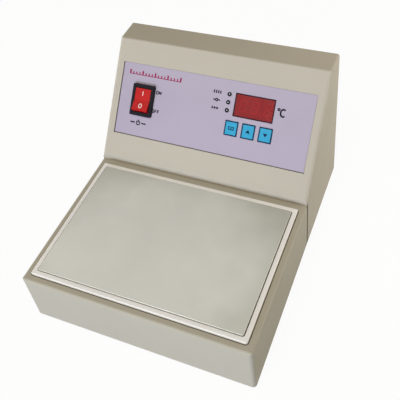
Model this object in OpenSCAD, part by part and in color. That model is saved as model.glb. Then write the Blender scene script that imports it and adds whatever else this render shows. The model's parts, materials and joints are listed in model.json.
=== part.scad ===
// Bench heating platform: a low sheet-steel base carries a heated aluminium plate in a gasket
// frame, and a tall head behind it carries the controls, the power parts and the inlet.
// Units are millimetres. Z is up, the front faces -Y, and the floor under the feet is z = 0.

/* [Housing] */
// Width of the base and of the head
body_w = 143; // [138:1:150]
// Depth from the front of the base to the rear panel
body_d = 171.6; // [169:0.2:180]
// Depth of the base from its front to the seam
base_d = 101.8; // [100:0.2:105]
// Height of the base walls
base_h = 37; // [36:0.5:41]
// Height of the head walls
head_h = 101.5; // [99:0.5:107]
// Depth of the flat top as a share of the head's depth
head_top_share = 0.2479; // [0.22:0.0001:0.28]
// Height of the upright lip at the foot of the leaning front
lip_h = 3.7; // [3:0.1:5]
// Thickness of the sheet steel
sheet_t = 1; // [0.8:0.1:1.2]
// Outer radius of the upright front bends and of the bends beside the leaning front
side_bend_r = 2.4; // [1.8:0.1:3]
// Outer radius of the bends along the top of the base
rim_bend_r = 1.5; // [1.3:0.1:2]
// Outer radius of the bend between the lip and the leaning front
lip_bend_r = 2; // [1.4:0.1:2.6]
// Outer radius of the bends at the top of the head
head_bend_r = 1.6; // [1.3:0.1:2]
// Open seam between the base and the head
seam_gap = 1; // [0.4:0.1:1.2]
// Width of the folded flanges inside the housing as a share of its width
flange_share = 0.063; // [0.06:0.001:0.068]
// Gap between separate sheets that lie edge to edge
fit_gap = 0.3; // [0.2:0.05:0.4]

/* [Heating plate] */
// Painted rim beside the gasket
rim_side = 4.3; // [3:0.1:6]
// Painted rim in front of the gasket
rim_front = 4.5; // [3:0.1:6]
// Painted rim behind the gasket
rim_rear = 4.5; // [3:0.1:6]
// Width of the gasket face
gasket_w = 3; // [2.6:0.1:4.5]
// Height of the gasket above the rim
gasket_rise = 1.6; // [1:0.1:2.4]
// Thickness of the gasket wall between the plate and the sheet edge
gasket_wall = 1.6; // [1.2:0.1:2]
// Thickness of the gasket lip that grips the sheet from below
gasket_lip = 1; // [0.8:0.1:1.2]
// Height of the plate above the gasket
plate_proud = 0.7; // [0.3:0.1:1.2]
// Thickness of the aluminium plate
plate_t = 10; // [9:0.5:11]
// Gap between the plate and the gasket
plate_gap = 0.15; // [0.1:0.05:0.3]
// Thickness of the sheet heater
heater_t = 1; // [0.8:0.1:1.4]
// Thickness of the steel clamp plate
clamp_t = 1.5; // [1.2:0.1:2]
// Thickness of the insulation board
insulation_t = 8; // [6:0.5:9]
// Distance of the clamp plate's edge from the plate's edge
clamp_inset = 5; // [4:0.5:8]
// Width across the flats of the hexagonal posts
post_af = 7; // [6:0.5:8]
// Distance between the posts across the plate as a share of its width
post_dx_share = 0.7; // [0.68:0.01:0.72]
// Distance between the posts along the depth as a share of the plate's depth
post_dy_share = 0.62; // [0.6:0.01:0.65]
// Radius of the temperature probe
probe_r = 2; // [1.5:0.1:2.2]
// Length of the probe inside the plate
probe_depth = 34; // [25:1:45]
// Radius of the thermal cut-out
cutout_r = 7.9; // [7:0.1:8.5]

/* [Control panel] */
// Painted margin beside the label window
window_side = 5.7; // [5:0.1:7]
// Painted margin below the label window as a share of the slope
window_low_share = 0.2033; // [0.19:0.001:0.22]
// Height of the label window as a share of the slope
window_share = 0.6049; // [0.59:0.001:0.62]
// Thickness of the carrier plate behind the window
carrier_t = 1; // [0.8:0.1:1.2]
// Thickness of the label film
film_t = 0.3; // [0.2:0.05:0.4]
// Gap beside the film on its left
film_gap_left = 0.45; // [0.2:0.05:0.6]
// Gap beside the film on its right
film_gap_right = 0.25; // [0.1:0.05:0.6]
// Gap below the film
film_gap_low = 0.45; // [0.2:0.05:0.6]
// Gap above the film
film_gap_high = 0.1; // [0.05:0.05:0.3]
// Distance of the display's centre from the right edge of the window
display_in = 37.9; // [36:0.1:40]
// Height of the display's centre in the window as a share of the window's height
display_up_share = 0.693; // [0.685:0.001:0.72]
// Width of the display filter
filter_w = 26.2; // [25.6:0.1:27]
// Height of the display filter
filter_h = 14.9; // [14.6:0.1:15.4]
// Thickness of the display filter
filter_t = 1.9; // [1.5:0.1:2.1]
// Width of the display module
module_w = 25; // [24:0.1:25.4]
// Height of the display module
module_h = 14; // [13:0.1:14.4]
// Distance of the lamp column from the filter's left edge
lamp_out = 4.2; // [3.4:0.1:4.6]
// Spacing of the lamps
lamp_pitch = 5.15; // [4.6:0.05:5.4]
// Radius of a lamp
lamp_r = 1.3; // [1.2:0.05:1.6]

/* [Keys] */
// Width of a key field
key_w = 8.6; // [8:0.1:9.2]
// Height of a key field
key_h = 9.4; // [8.6:0.1:9.8]
// Spacing of the keys
key_pitch = 11.25; // [10.8:0.05:11.8]
// Height of the key row's centre in the window as a share of the window's height
key_up_share = 0.3755; // [0.355:0.001:0.385]
// Inward travel of a key
key_travel = 0.35; // [0.2:0.05:0.4]
// Height of a raised key field above the film
key_proud = 0.25; // [0.15:0.05:0.4]
// Radius of a key stem
stem_r = 1.7; // [1.4:0.1:1.9]
// Width of a key switch body
key_switch_w = 6; // [5.6:0.1:6.4]
// Height of a key switch body
key_switch_h = 3.5; // [3.2:0.1:4]

/* [Rocker switch] */
// Distance of the switch's centre from the left edge of the window
switch_in = 17.7; // [16.5:0.1:19]
// Height of the switch's centre in the window as a share of the window's height
switch_up_share = 0.5124; // [0.49:0.002:0.54]
// Width of the switch bezel
bezel_w = 15.8; // [14.6:0.1:16]
// Height of the switch bezel
bezel_h = 21.2; // [20.6:0.1:22]
// Height of the bezel above the film
bezel_t = 2; // [1.6:0.1:2.4]
// Width of the switch body
switch_w = 13; // [12.8:0.1:13.4]
// Height of the switch body
switch_h = 19.2; // [19:0.1:19.6]
// Depth of the switch body behind the film as a share of the head's depth
switch_depth_share = 0.2035; // [0.19:0.005:0.23]
// Width of the rocker
rocker_w = 11; // [10.6:0.1:11.2]
// Radius of the rocker's round ends about its pivot
rocker_r = 8; // [7.8:0.05:8.1]
// Tilt of the rocker to each side of its middle
rocker_tilt = 11; // [9:0.5:12]
// Radius of the rocker's pivot pins
pivot_r = 1.2; // [1:0.05:1.4]

/* [Control board] */
// Width of the control board
board_w = 64; // [62:0.5:68]
// Height of the control board as a share of the window's height
board_share = 0.913; // [0.87:0.005:0.95]
// Thickness of both circuit boards
board_t = 1.6; // [1.2:0.1:2]
// Distance between the carrier plate and the control board
board_standoff_h = 8.2; // [8:0.1:9]
// Distance of the board screws from the board edges
board_inset = 3.5; // [3:0.1:4]

/* [Power board] */
// Width of the power board as a share of the head's inner width
power_w_share = 0.6383; // [0.61:0.005:0.66]
// Gap in front of the power board as a share of the head's depth
power_front_share = 0.2035; // [0.2:0.001:0.23]
// Height of the power board above the bottom plate
power_standoff_h = 6; // [5:0.5:8]
// Width of the transformer core as a share of the power board's width
core_w_share = 0.389; // [0.37:0.005:0.41]
// Height of the transformer core
core_h = 29; // [27:0.5:31]
// Thickness of the core's stack of plates as a share of the power board's depth
core_t_share = 0.28; // [0.25:0.01:0.31]

/* [Rear panel] */
// Number of louvres
louvre_count = 7; // [4:1:7]
// Spacing of the louvres as a share of the head's height
louvre_pitch_share = 0.064; // [0.061:0.001:0.067]
// Length of a louvre as a share of the body's width
louvre_w_share = 0.3217; // [0.28:0.005:0.35]
// Height that a louvre stands out
louvre_r = 2.2; // [1.8:0.1:2.2]
// Distance of the inlet's centre from the middle as a share of the body's width
inlet_x_share = 0.2308; // [0.226:0.001:0.234]
// Height of the inlet's centre above the lower edge as a share of the head's height
inlet_up_share = 0.3153; // [0.3:0.005:0.38]
// Width of the inlet flange
inlet_flange_w = 49; // [48:0.5:52]
// Height of the inlet flange
inlet_flange_h = 33; // [32:0.5:35]
// Thickness of the inlet flange
inlet_flange_t = 2; // [1.6:0.1:2.2]
// Depth of the inlet body with its flange as a share of the head's depth
inlet_depth_share = 0.3924; // [0.38:0.005:0.42]
// Distance between the inlet screws
inlet_screw_dx = 40; // [39:0.5:40.5]

/* [Feet] */
// Height of the rubber feet below the housing
foot_h = 3.5; // [3:0.1:5]
// Upper radius of a foot as a share of the body's width
foot_share = 0.049; // [0.042:0.001:0.05]
// Gap between the rear feet and the power board's screw heads
foot_room = 0.45; // [0.3:0.05:0.6]

/* [Hidden] */
$fn = 48;

// Overrun of every cut past the face it starts from
cut = 1;
// Radial clearance of a screw in its thread or of a pin in its bore
run_gap = 0.05;
// Clearance between pieces that lie side by side
side_gap = 0.1;

// Screws: radius of the thread, of the clearance hole and of the head, and the head's height
m3_r = 1.45;
m3_tap_r = m3_r + run_gap;
m3_hole_r = 1.7;
m3_head_r = 2.75;
m3_head_h = 1.8;
m4_r = 1.95;
m4_tap_r = m4_r + run_gap;
m4_hole_r = 2.2;
m4_head_r = 3.6;
m4_head_h = 2.2;
nut_af = 5.5;
nut_h = 2.4;
// Cross recess in a screw head, and the radius of the head's dome as a share of its radius
recess_w = 0.7;
recess_depth = 1;
dome_share = 1.5;

// The depth is centred with what stands out of the rear panel
rear_proud = max(louvre_r, inlet_flange_t, m3_head_h);
front_y = -(body_d + rear_proud) / 2;
base_rear_y = front_y + base_d;
lip_y = base_rear_y + seam_gap;
rear_y = front_y + body_d;
panel_y = rear_y - sheet_t;

// Heights of the rim, the lip bend, the top and the upper face of the bottom plate
base_top_z = foot_h + base_h;
lip_z = base_top_z + lip_h;
head_top_z = foot_h + head_h;
floor_z = foot_h + sheet_t;
inner_w = body_w - 2 * sheet_t;
flange_w = body_w * flange_share;
flange_x = inner_w / 2 - flange_w / 2;

// The head's depth and the depth of its flat top
head_d = body_d - base_d - seam_gap;
head_top_d = (head_d + seam_gap) * head_top_share;

// The leaning front: its run, rise, length and angle
slope_run = head_d - head_top_d;
slope_rise = head_h - base_h - lip_h;
slope_l = norm([slope_run, slope_rise]);
lean_a = atan2(slope_rise, slope_run);

// The gasket, the plate and the stack below it
gasket_w_all = body_w - 2 * rim_side;
gasket_d_all = base_d - rim_front - rim_rear;
gasket_corner_r = 1.4;
gasket_edge_r = 0.6;
gasket_lip_w = 1.2;
plate_w = gasket_w_all - 2 * gasket_w - 2 * plate_gap;
plate_d = gasket_d_all - 2 * gasket_w - 2 * plate_gap;
plate_y = front_y + rim_front + gasket_d_all / 2;
plate_corner_r = 1;
plate_edge_r = 0.4;
skirt_w = plate_w + 2 * (plate_gap + gasket_wall);
skirt_d = plate_d + 2 * (plate_gap + gasket_wall);
opening_corner_r = 1.2;
plate_top_z = base_top_z + gasket_rise + plate_proud;
plate_low_z = plate_top_z - plate_t;
heater_low_z = plate_low_z - heater_t;
clamp_low_z = heater_low_z - clamp_t;
insulation_low_z = clamp_low_z - insulation_t;
clamp_w = plate_w - 2 * clamp_inset;
clamp_d = plate_d - 2 * clamp_inset;
sheet_corner_r = 2;
heater_inset = 3;
insulation_inset = 2;
heater_tab_w = 6;
heater_tab_l = 4;
heater_tab_dx = 16;
clamp_dx_share = 0.266;
clamp_room = 1.95;
clamp_screw_dx = plate_w * clamp_dx_share;
post_dx = plate_w * post_dx_share;
post_dy = plate_d * post_dy_share;
clamp_screw_in = 6;
head_room = 0.5;
clamp_screw_dy = clamp_d - 2 * (insulation_inset + m4_head_r + head_room + clamp_room);
post_room = 0.4;
post_stud_l = 6;
tap_depth = 7;
grommet_x_share = 0.1329;
grommet_x = body_w * grommet_x_share;
probe_x = grommet_x;
probe_up = 3.2;
probe_tail = 2;
cutout_h = 9;
cutout_ear_w = 33;
cutout_ear_d = 12;
cutout_ear_t = 1.2;
cutout_screw_dx = 25;
cutout_screw_in = 4;
cutout_tap_depth = 5;
cutout_tab_w = 6.3;
cutout_tab_t = 0.8;
cutout_tab_l = 4;
cutout_tab_dx = 9;
cutout_room = 1.5;

// The label window and what shows in it, in slope coordinates: x from the middle, s up the
// slope from the lip bend and n outward from the painted face
window_w = body_w - 2 * window_side;
window_low = slope_l * window_low_share;
window_h = slope_l * window_share;
window_s = window_low + window_h / 2;
film_n = -sheet_t + film_t;
film_w = window_w - film_gap_left - film_gap_right;
film_h = window_h - film_gap_low - film_gap_high;
film_x = (film_gap_left - film_gap_right) / 2;
film_s = window_s + (film_gap_low - film_gap_high) / 2;
carrier_n = -sheet_t - carrier_t;
carrier_side = 3;
carrier_low = 8;
carrier_high = 5.5;
stud_in = 13.5;
stud_low = 12;
stud_high = 10;
stud_l = 5.5;
display_x = window_w / 2 - display_in;
display_s = window_low + window_h * display_up_share;
filter_gap = 0.1;
module_gap = 0.3;
module_n = film_n - filter_t - module_gap;
digit_pitch = 8.2;
digit_w = 6.8;
digit_h = 10.4;
digit_depth = 0.3;
digit_count = 3;
lamp_x = display_x - filter_w / 2 - lamp_out;
lamp_up = 0.6;
lamp_s = display_s + lamp_up;
lamp_gap = 0.15;
lamp_proud = 0.15;
lamp_l = 4.1;
lamp_base_r = 1.9;
lamp_base_t = 1;
lamp_wall = 0.9;
lamp_base_n = film_n + lamp_proud - lamp_l - lamp_base_t;
key_shift = 1.3;
key_x = display_x - key_shift;
key_s = window_low + window_h * key_up_share;
key_gap = 0.15;
key_room = 0.25;
key_corner_r = 0.5;
key_n = film_n + key_proud;
stem_in = 1.7;
stem_room = key_travel + key_gap;
board_shift = 3;
board_up_share = 0.5664;
board_x = display_x - board_shift;
board_h = window_h * board_share;
board_s = window_low + window_h * board_up_share;
board_n = carrier_n - board_standoff_h;
board_back_n = board_n - board_t;
board_corner_r = 1.5;
spacer_af = 5.5;
chip_w = 25;
chip_h = 7;
chip_t = 3.6;
chip_right = 6;
chip_up = 8;
connector_w_share = 0.1667;
connector_d = 5;
connector_h = 6;
connector_down = 11;

// The rocker switch, with the rocker at rest on its upper half
switch_x = switch_in - window_w / 2;
switch_s = window_low + window_h * switch_up_share;
switch_depth = head_d * switch_depth_share;
bezel_corner_r = 1.4;
bezel_edge_r = 0.5;
switch_corner_r = 0.5;
pivot_down = 0.3;
pivot_n = film_n - pivot_down;
pivot_in = 0.7;
rocker_gap = 0.2;
rocker_valley = 2.1;
rocker_low = 3.6;
rocker_wall = 1.3;
rocker_boss_r = 2.2;
rocker_bore_r = 1.3;
switch_floor_t = 2;
switch_low_n = film_n - switch_depth;
clip_w = 6;
clip_out = 0.7;
clip_root = 0.2;
clip_l = 3;
clip_step = 0.15;
tab_w = 4.8;
tab_t = 0.8;
tab_length = 8;
tab_dx = 7;
tab_ds = 10;
tab_hole_r = 0.9;
tab_hole_in = 2.6;
cutout_gap = 0.15;

// The power board, and its parts from the board's left front corner
power_w = inner_w * power_w_share;
power_front = head_d * power_front_share;
power_rear = 3.8;
power_d = head_d - power_front - power_rear;
power_x = inner_w / 2 - flange_w - power_w;
power_inset = 4;
power_y = lip_y + power_front;
power_z = floor_z + power_standoff_h;
power_top_z = power_z + board_t;
core_w = power_w * core_w_share;
core_t = power_d * core_t_share;
core_x_share = 0.7944;
core_y_share = 0.6;
core_x = power_w * core_x_share;
core_y = power_d * core_y_share;
core_leg_share = 0.17;
coil_out_share = 0.12;
coil_out = power_d * coil_out_share;
coil_gap = 0.15;
coil_corner_r = 2;
relay_w_share = 0.211;
relay_d_share = 0.31;
relay_y_share = 0.66;
relay_w = power_w * relay_w_share;
relay_d = power_d * relay_d_share;
relay_h = 15.3;
relay_room = 3.5;
relay_y = power_d * relay_y_share;
relay_edge_r = 0.6;
cap_y_shares = [0.4, 0.64];
cap_r_shares = [0.1, 0.08];
big_cap_h = 16;
small_cap_h = 11.5;
cap_groove_up = 2;
cap_groove_h = 0.8;
cap_groove_in = 0.4;
connector_x_share = 0.5156;
connector_y_share = 0.86;
connector_w = power_w * connector_w_share;
connector_x = power_x + power_w * connector_x_share;
power_connector_y = power_d * connector_y_share;
terminal_pitch_share = 0.05645;
terminal_pitch = power_w * terminal_pitch_share;
terminal_count = 6;
terminal_d_share = 0.157;
terminal_d = power_d * terminal_d_share;
terminal_h = 10;
terminal_x_share = 0.4444;
terminal_x = power_w * terminal_x_share;
terminal_y_share = 0.1;
terminal_y = power_d * terminal_y_share;
terminal_hole_r = 1.5;
terminal_hole_up = 3.6;
terminal_in_share = 0.5;
terminal_hole_in = terminal_d * terminal_in_share;
terminal_screw_share = 0.21;
terminal_screw_r = terminal_d * terminal_screw_share;
terminal_screw_in = 1.2;
terminal_outline_shares = [[-0.5, 0], [0.5, 0], [0.5, 0.72], [0.3, 1], [-0.3, 1], [-0.5, 0.84]];

// The inlet, seen from behind, about the middle of its flange
inlet_x = body_w * inlet_x_share;
inlet_z = foot_h + head_h * inlet_up_share;
inlet_depth = head_d * inlet_depth_share;
inlet_corner_r = 3;
inlet_body_w = 27;
relay_x = relay_room + inlet_body_w / 2 - inlet_x - power_x + relay_w / 2;
cap_x = (relay_x + relay_w / 2 + core_x - core_w / 2) / 2;
inlet_body_h = 30;
inlet_body_r = 1;
cavity_w = 24.4;
cavity_h = 16.4;
cavity_depth_share = 0.648;
cavity_depth = inlet_depth * cavity_depth_share;
cavity_up = 5.2;
cavity_chamfer = 4.5;
pin_w = 2;
pin_h = 4;
pin_dx = 14;
pin_step = 4;
pin_recess = 4.8;
pin_tail_share = 0.296;
pin_tail = inlet_depth * pin_tail_share;
pin_gap = 0.05;
csk_h = 1.3;
inlet_screw_l = 7;
drawer_w = 21.4;
drawer_h = 8;
drawer_down = 9;
drawer_room = 2.5;
drawer_l = inlet_depth - drawer_room;
drawer_gap = 0.2;
drawer_end_gap = 0.3;
grip_w = 9;
grip_h = 1.6;
grip_in = 1;
fuse_r = 2.6;
fuse_room = 4.5;
fuse_cap_share = 0.25;
fuse_l = drawer_l - fuse_room;
fuse_cap_l = fuse_l * fuse_cap_share;
fuse_step = 0.2;
fuse_dx = 10;
fuse_gap = 0.15;
fuse_up = 0.6;
fuse_back = 1.4;

// The rear panel and the bottom plate
louvre_t = 0.7;
louvre_x_share = 0.2448;
louvre_low_share = 0.335;
louvre_x = body_w * louvre_x_share;
louvre_low = head_h * louvre_low_share;
louvre_w = body_w * louvre_w_share;
louvre_pitch = head_h * louvre_pitch_share;
louvre_open_share = 0.85;
panel_screw_low = 9;
panel_screw_high = 7.5;
panel_corner_r = 0.8;
bottom_corner_r = 1.5;
vent_w = 3;
vent_l_share = 0.494;
vent_l = head_d * vent_l_share;
vent_pitch = 8;
vent_count = 5;
vent_y_share = 0.494;
vent_y = head_d * vent_y_share;
vent_round_share = 0.48;
foot_taper_share = 0.86;
foot_r = body_w * foot_share;
foot_side = sheet_t + flange_w + foot_r;
foot_end = power_rear + power_inset + foot_r + m3_head_r + foot_room;
foot_bore_r = 3.4;
foot_floor = 1.4;
foot_screw_l = 6;
bottom_screw_l = 5;
joining_screw_l = 6;
joining_low = 12;
joining_high = 26;
panel_screw_l = 6;
board_screw_l = 5;
power_screw_l = 4.8;
power_low_screw_l = 3.4;
post_screw_l = 6;

// The earth stud, the grommet and the leads
earth_room = 5.5;
earth_y_share = 0.32;
earth_x = earth_room + flange_w - inner_w / 2;
earth_y = head_d * earth_y_share;
earth_stud_l = 11;
earth_nut_af = 7;
earth_nut_h = 3.2;
earth_lug_r = 4.2;
earth_lug_t = 0.8;
grommet_up = 13;
grommet_z = floor_z + grommet_up;
grommet_hole_r = 5.5;
grommet_r = 7;
grommet_t = 1.4;
grommet_bore_r = 3.8;
lead_r = 0.9;
lead_sides = 8;
lead_rings = 12;
lead_spread = 1.4;
short_reach = 4;
mid_reach_share = 0.131;
long_reach_share = 0.2035;
wide_reach_share = 0.32;
mid_reach = head_d * mid_reach_share;
long_reach = head_d * long_reach_share;
wide_reach = head_d * wide_reach_share;
entry_reach = 7;
ribbon_w_share = 0.141;
ribbon_w = power_w * ribbon_w_share;
ribbon_t = 0.9;

function unit(v) = v / norm(v);

// Points of an outline, run anticlockwise, moved inward by t
function inset(pts, t) = let (n = len(pts)) [for (i = [0 : n - 1])
    let (u = unit(pts[i] - pts[(i + n - 1) % n]),
         v = unit(pts[(i + 1) % n] - pts[i]),
         n1 = [-u.y, u.x],
         n2 = [-v.y, v.x])
    pts[i] + (n1 + n2) * t / (1 + n1 * n2)];

// What a round corner at p leaves of a sharp one
module corner_waste(a, p, b, r) {
    u = unit(a - p);
    v = unit(b - p);
    w = unit(u + v);
    half = acos(u * v) / 2;
    c = p + w * r / sin(half);
    t = r / tan(half);
    difference() {
        polygon([p - w * r, p + v * t, c, p + u * t]);
        translate(c) circle(r);
    }
}

module rounded_polygon(pts, radii) {
    n = len(pts);
    difference() {
        polygon(pts);
        for (i = [0 : n - 1]) {
            if (radii[i] > 0) {
                corner_waste(pts[(i + n - 1) % n], pts[i], pts[(i + 1) % n], radii[i]);
            }
        }
    }
}

module rounded_rect(w, h, r) {
    rounded_polygon([[-w, -h] / 2, [w, -h] / 2, [w, h] / 2, [-w, h] / 2], [r, r, r, r]);
}

// A plate with round corners, its underside at z = 0
module slab(w, h, t, r) {
    linear_extrude(t) rounded_rect(w, h, r);
}

// A square-cornered block about the Z axis, its underside at z = 0
module block(w, h, t) {
    translate([-w / 2, -h / 2, 0]) cube([w, h, t]);
}

module mirror_x() {
    children();
    mirror([1, 0, 0]) children();
}

module mirror_y() {
    children();
    mirror([0, 1, 0]) children();
}

module at_corners(dx, dy) {
    for (x = [-dx, dx] / 2, y = [-dy, dy] / 2) translate([x, y, 0]) children();
}

// What a round edge along Y leaves of a sharp one, with the material on its -x and -z sides
module edge_waste(l, r) {
    translate([0, l / 2, 0]) rotate([90, 0, 0]) linear_extrude(l) difference() {
        translate([-r, -r]) square(r + cut);
        translate([-r, -r]) circle(r);
    }
}

// The same along all four top edges of a block of w by h whose top is at z = 0
module top_edge_waste(w, h, r) {
    mirror_x() translate([w / 2, 0, 0]) edge_waste(h + 2 * cut, r);
    mirror_y() translate([0, h / 2, 0]) rotate(90) edge_waste(w + 2 * cut, r);
}

// A pan-head screw whose head sits on z = 0 and whose shank points down
module screw(r, head_r, head_h, l) {
    dome_r = head_r * dome_share;
    difference() {
        union() {
            intersection() {
                cylinder(r = head_r, h = head_h);
                translate([0, 0, head_h - dome_r]) sphere(dome_r);
            }
            translate([0, 0, -l]) cylinder(r = r, h = l + head_h / 2);
        }
        for (a = [0, 90]) rotate(a) translate([0, 0, head_h - recess_depth])
            block(head_r, recess_w, recess_depth + cut);
    }
}

module m3_screw(l) {
    screw(m3_r, m3_head_r, m3_head_h, l);
}

// A hexagonal prism of width af across its flats
module hexagon(af, h) {
    cylinder(r = af / 2 / cos(30), h = h, $fn = 6);
}

module nut(af, h, r) {
    difference() {
        hexagon(af, h);
        translate([0, 0, -cut]) cylinder(r = r, h = h + 2 * cut);
    }
}

// A hole down from z = 0 to depth h
module bore(r, h) {
    translate([0, 0, -h]) cylinder(r = r, h = h + cut);
}

// A hole right through a sheet that lies below z = 0
module through(r, t) {
    translate([0, 0, -t - cut]) cylinder(r = r, h = t + 2 * cut);
}

// Points on a curve that leaves a along u and reaches b against v, straight at both ends
function curve(a, u, b, v, steps) = let (a1 = a + unit(u) * lead_r, b1 = b + unit(v) * lead_r,
    c = a1 + u, d = b1 + v) concat([a], [for (i = [0 : steps])
    let (t = i / steps, q = 1 - t)
    a1 * q * q * q + c * 3 * q * q * t + d * 3 * q * t * t + b1 * t * t * t], [b]);

// Directions square to each tangent, carried along the path without twisting
function carried(ts, i, u) = i == len(ts) ? [] :
    let (w = unit(u - ts[i] * (u * ts[i]))) concat([w], carried(ts, i + 1, w));

module sweep(path, profile, side) {
    n = len(path);
    m = len(profile);
    ts = [for (i = [0 : n - 1]) unit(path[min(i + 1, n - 1)] - path[max(i - 1, 0)])];
    us = carried(ts, 0, side);
    pts = [for (i = [0 : n - 1], q = profile) path[i] + us[i] * q.x + cross(ts[i], us[i]) * q.y];
    sides = [for (i = [0 : n - 2], j = [0 : m - 1], k = [0, 1])
        let (a = i * m + j, b = i * m + (j + 1) % m)
        k == 0 ? [a, a + m, b + m] : [a, b + m, b]];
    polyhedron(pts, concat([[for (j = [0 : m - 1]) j]], sides,
        [[for (j = [m - 1 : -1 : 0]) (n - 1) * m + j]]));
}

module lead(path, side = [1, 0, 0]) {
    sweep(path, [for (i = [0 : lead_sides - 1]) let (a = 360 * i / lead_sides)
        [cos(a), sin(a)] * lead_r], side);
}

// Places children in slope coordinates
module on_panel(x = 0, s = 0, n = 0) {
    translate([0, lip_y, lip_z]) rotate([lean_a, 0, 0]) translate([x, s, n]) children();
}

function panel_point(x, s, n) =
    [x, lip_y + s * cos(lean_a) - n * sin(lean_a), lip_z + s * sin(lean_a) + n * cos(lean_a)];

// Places children on the rear panel's outer face, seen from behind, with z pointing out
module at_inlet() {
    translate([-inlet_x, rear_y, inlet_z]) rotate([90, 0, 180]) children();
}

function inlet_point(x, y, z) = [-inlet_x - x, rear_y + z, inlet_z + y];

// Screws through the bottom plate into the housing flanges, heads below
module at_bottom_screws() {
    for (x = [-flange_x, flange_x], y = [front_y + flange_w, base_rear_y - 2 * flange_w,
            lip_y + flange_w, rear_y - flange_w])
        translate([x, y, foot_h]) rotate([180, 0, 0]) children();
}

// Screws through the rear wall of the base into the head's front flanges, heads in the base
module at_joining_screws() {
    for (x = [-flange_x, flange_x], z = [joining_low, joining_high])
        translate([x, base_rear_y - sheet_t, foot_h + z]) rotate([90, 0, 0]) children();
}

// Screws through the rear panel into the head's rear flanges, heads behind
module at_rear_screws() {
    low = foot_h + panel_screw_low;
    high = head_top_z - panel_screw_high;
    for (x = [-flange_x, flange_x], z = [low, (low + high) / 2, high])
        translate([x, rear_y, z]) rotate([-90, 0, 0]) children();
}

module at_feet() {
    for (x = [-1, 1] * (body_w / 2 - foot_side), y = [front_y + foot_end, rear_y - foot_end])
        translate([x, y, 0]) children();
}

module at_posts() {
    translate([0, plate_y, 0]) at_corners(post_dx, post_dy) children();
}

module at_clamp_screws() {
    for (x = [-clamp_screw_dx, 0, clamp_screw_dx], y = [-clamp_screw_dy, clamp_screw_dy] / 2)
        translate([x, plate_y + y, clamp_low_z]) rotate([180, 0, 0]) children();
}

module at_cutout_screws() {
    for (x = [-cutout_screw_dx, cutout_screw_dx] / 2)
        translate([x, plate_y, clamp_low_z - cutout_ear_t]) rotate([180, 0, 0]) children();
}

module at_panel_studs() {
    for (x = [-1, 1] * (body_w / 2 - stud_in), s = [stud_low, slope_l - stud_high])
        on_panel(x, s, -sheet_t) children();
}

module at_board_screws() {
    on_panel(board_x, board_s, board_back_n)
        at_corners(board_w - 2 * board_inset, board_h - 2 * board_inset)
        rotate([180, 0, 0]) children();
}

module at_power_screws() {
    translate([power_x + power_w / 2, power_y + power_d / 2, 0])
        at_corners(power_w - 2 * power_inset, power_d - 2 * power_inset) children();
}

module at_lamps() {
    for (i = [-1 : 1]) on_panel(lamp_x, lamp_s + i * lamp_pitch, 0) children();
}

module at_key(i, n) {
    on_panel(key_x + i * key_pitch, key_s, n) children();
}

// The base as a block, inset by t on every side but its open foot
module base_block(t) {
    w = body_w - 2 * t;
    low_z = t > 0 ? foot_h - cut : foot_h;
    top_z = base_top_z - t;
    difference() {
        translate([-w / 2, front_y + t, low_z]) cube([w, base_d - 2 * t, top_z - low_z]);
        mirror_x() {
            translate([w / 2, front_y + t, foot_h]) rotate([90, 0, 0])
                edge_waste(4 * base_h, side_bend_r - t);
            translate([w / 2, plate_y, top_z]) edge_waste(2 * base_d, rim_bend_r - t);
        }
        translate([0, front_y + t, top_z]) rotate(-90) edge_waste(2 * body_w, rim_bend_r - t);
    }
}

module base_flanges() {
    translate([0, front_y + base_d / 2, floor_z]) difference() {
        slab(body_w - sheet_t, base_d - sheet_t, sheet_t, side_bend_r);
        translate([0, 0, -cut]) slab(inner_w - 2 * flange_w, base_d - 2 * sheet_t - 2 * flange_w,
            sheet_t + 2 * cut, sheet_corner_r);
    }
}

module base_housing() {
    color("#c4bca9") difference() {
        union() {
            difference() {
                base_block(0);
                base_block(sheet_t);
            }
            base_flanges();
        }
        translate([0, plate_y, base_top_z - sheet_t - cut]) slab(skirt_w + 2 * side_gap,
            skirt_d + 2 * side_gap, sheet_t + 2 * cut, opening_corner_r);
        translate([-inner_w / 2, base_rear_y - flange_w, foot_h - cut])
            cube([inner_w, flange_w + cut, sheet_t + cut]);
        translate([grommet_x, base_rear_y, grommet_z]) rotate([-90, 0, 0])
            through(grommet_hole_r, sheet_t);
        at_joining_screws() through(m3_hole_r, sheet_t);
        at_bottom_screws() through(m3_tap_r, 2 * sheet_t);
    }
}

function head_outline() = [[lip_y, foot_h], [rear_y, foot_h], [rear_y, head_top_z],
    [rear_y - head_top_d, head_top_z], [lip_y, lip_z]];

// The inside of the head runs on past its open rear and its open foot
function head_inside() = let (q = inset(head_outline(), sheet_t))
    [[q[0].x, foot_h - cut], [rear_y + cut, foot_h - cut], [rear_y + cut, q[2].y], q[3], q[4]];

module head_block(pts, t) {
    w = body_w - 2 * t;
    difference() {
        translate([-w / 2, 0, 0]) rotate([90, 0, 90]) linear_extrude(w)
            rounded_polygon(pts, [0, 0, 0, head_bend_r - t, lip_bend_r - t]);
        mirror_x() {
            translate([w / 2, pts[4].x, pts[4].y]) rotate([lean_a, 0, 0])
                edge_waste(4 * slope_l, side_bend_r - t);
            translate([w / 2, pts[3].x, pts[3].y]) edge_waste(2 * body_d, head_bend_r - t);
        }
    }
}

module head_flanges() {
    rear_h = head_top_z - sheet_t - floor_z;
    mirror_x() translate([inner_w / 2 - flange_w, 0, floor_z]) {
        translate([0, lip_y + sheet_t / 2, 0])
            cube([flange_w + sheet_t / 2, panel_y - lip_y - sheet_t / 2, sheet_t]);
        translate([0, panel_y - sheet_t, 0]) cube([flange_w + sheet_t / 2, sheet_t, rear_h]);
    }
    translate([-body_w / 2 + sheet_t / 2, panel_y - sheet_t, head_top_z - sheet_t - flange_w])
        cube([body_w - sheet_t, sheet_t, flange_w + sheet_t / 2]);
}

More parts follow.
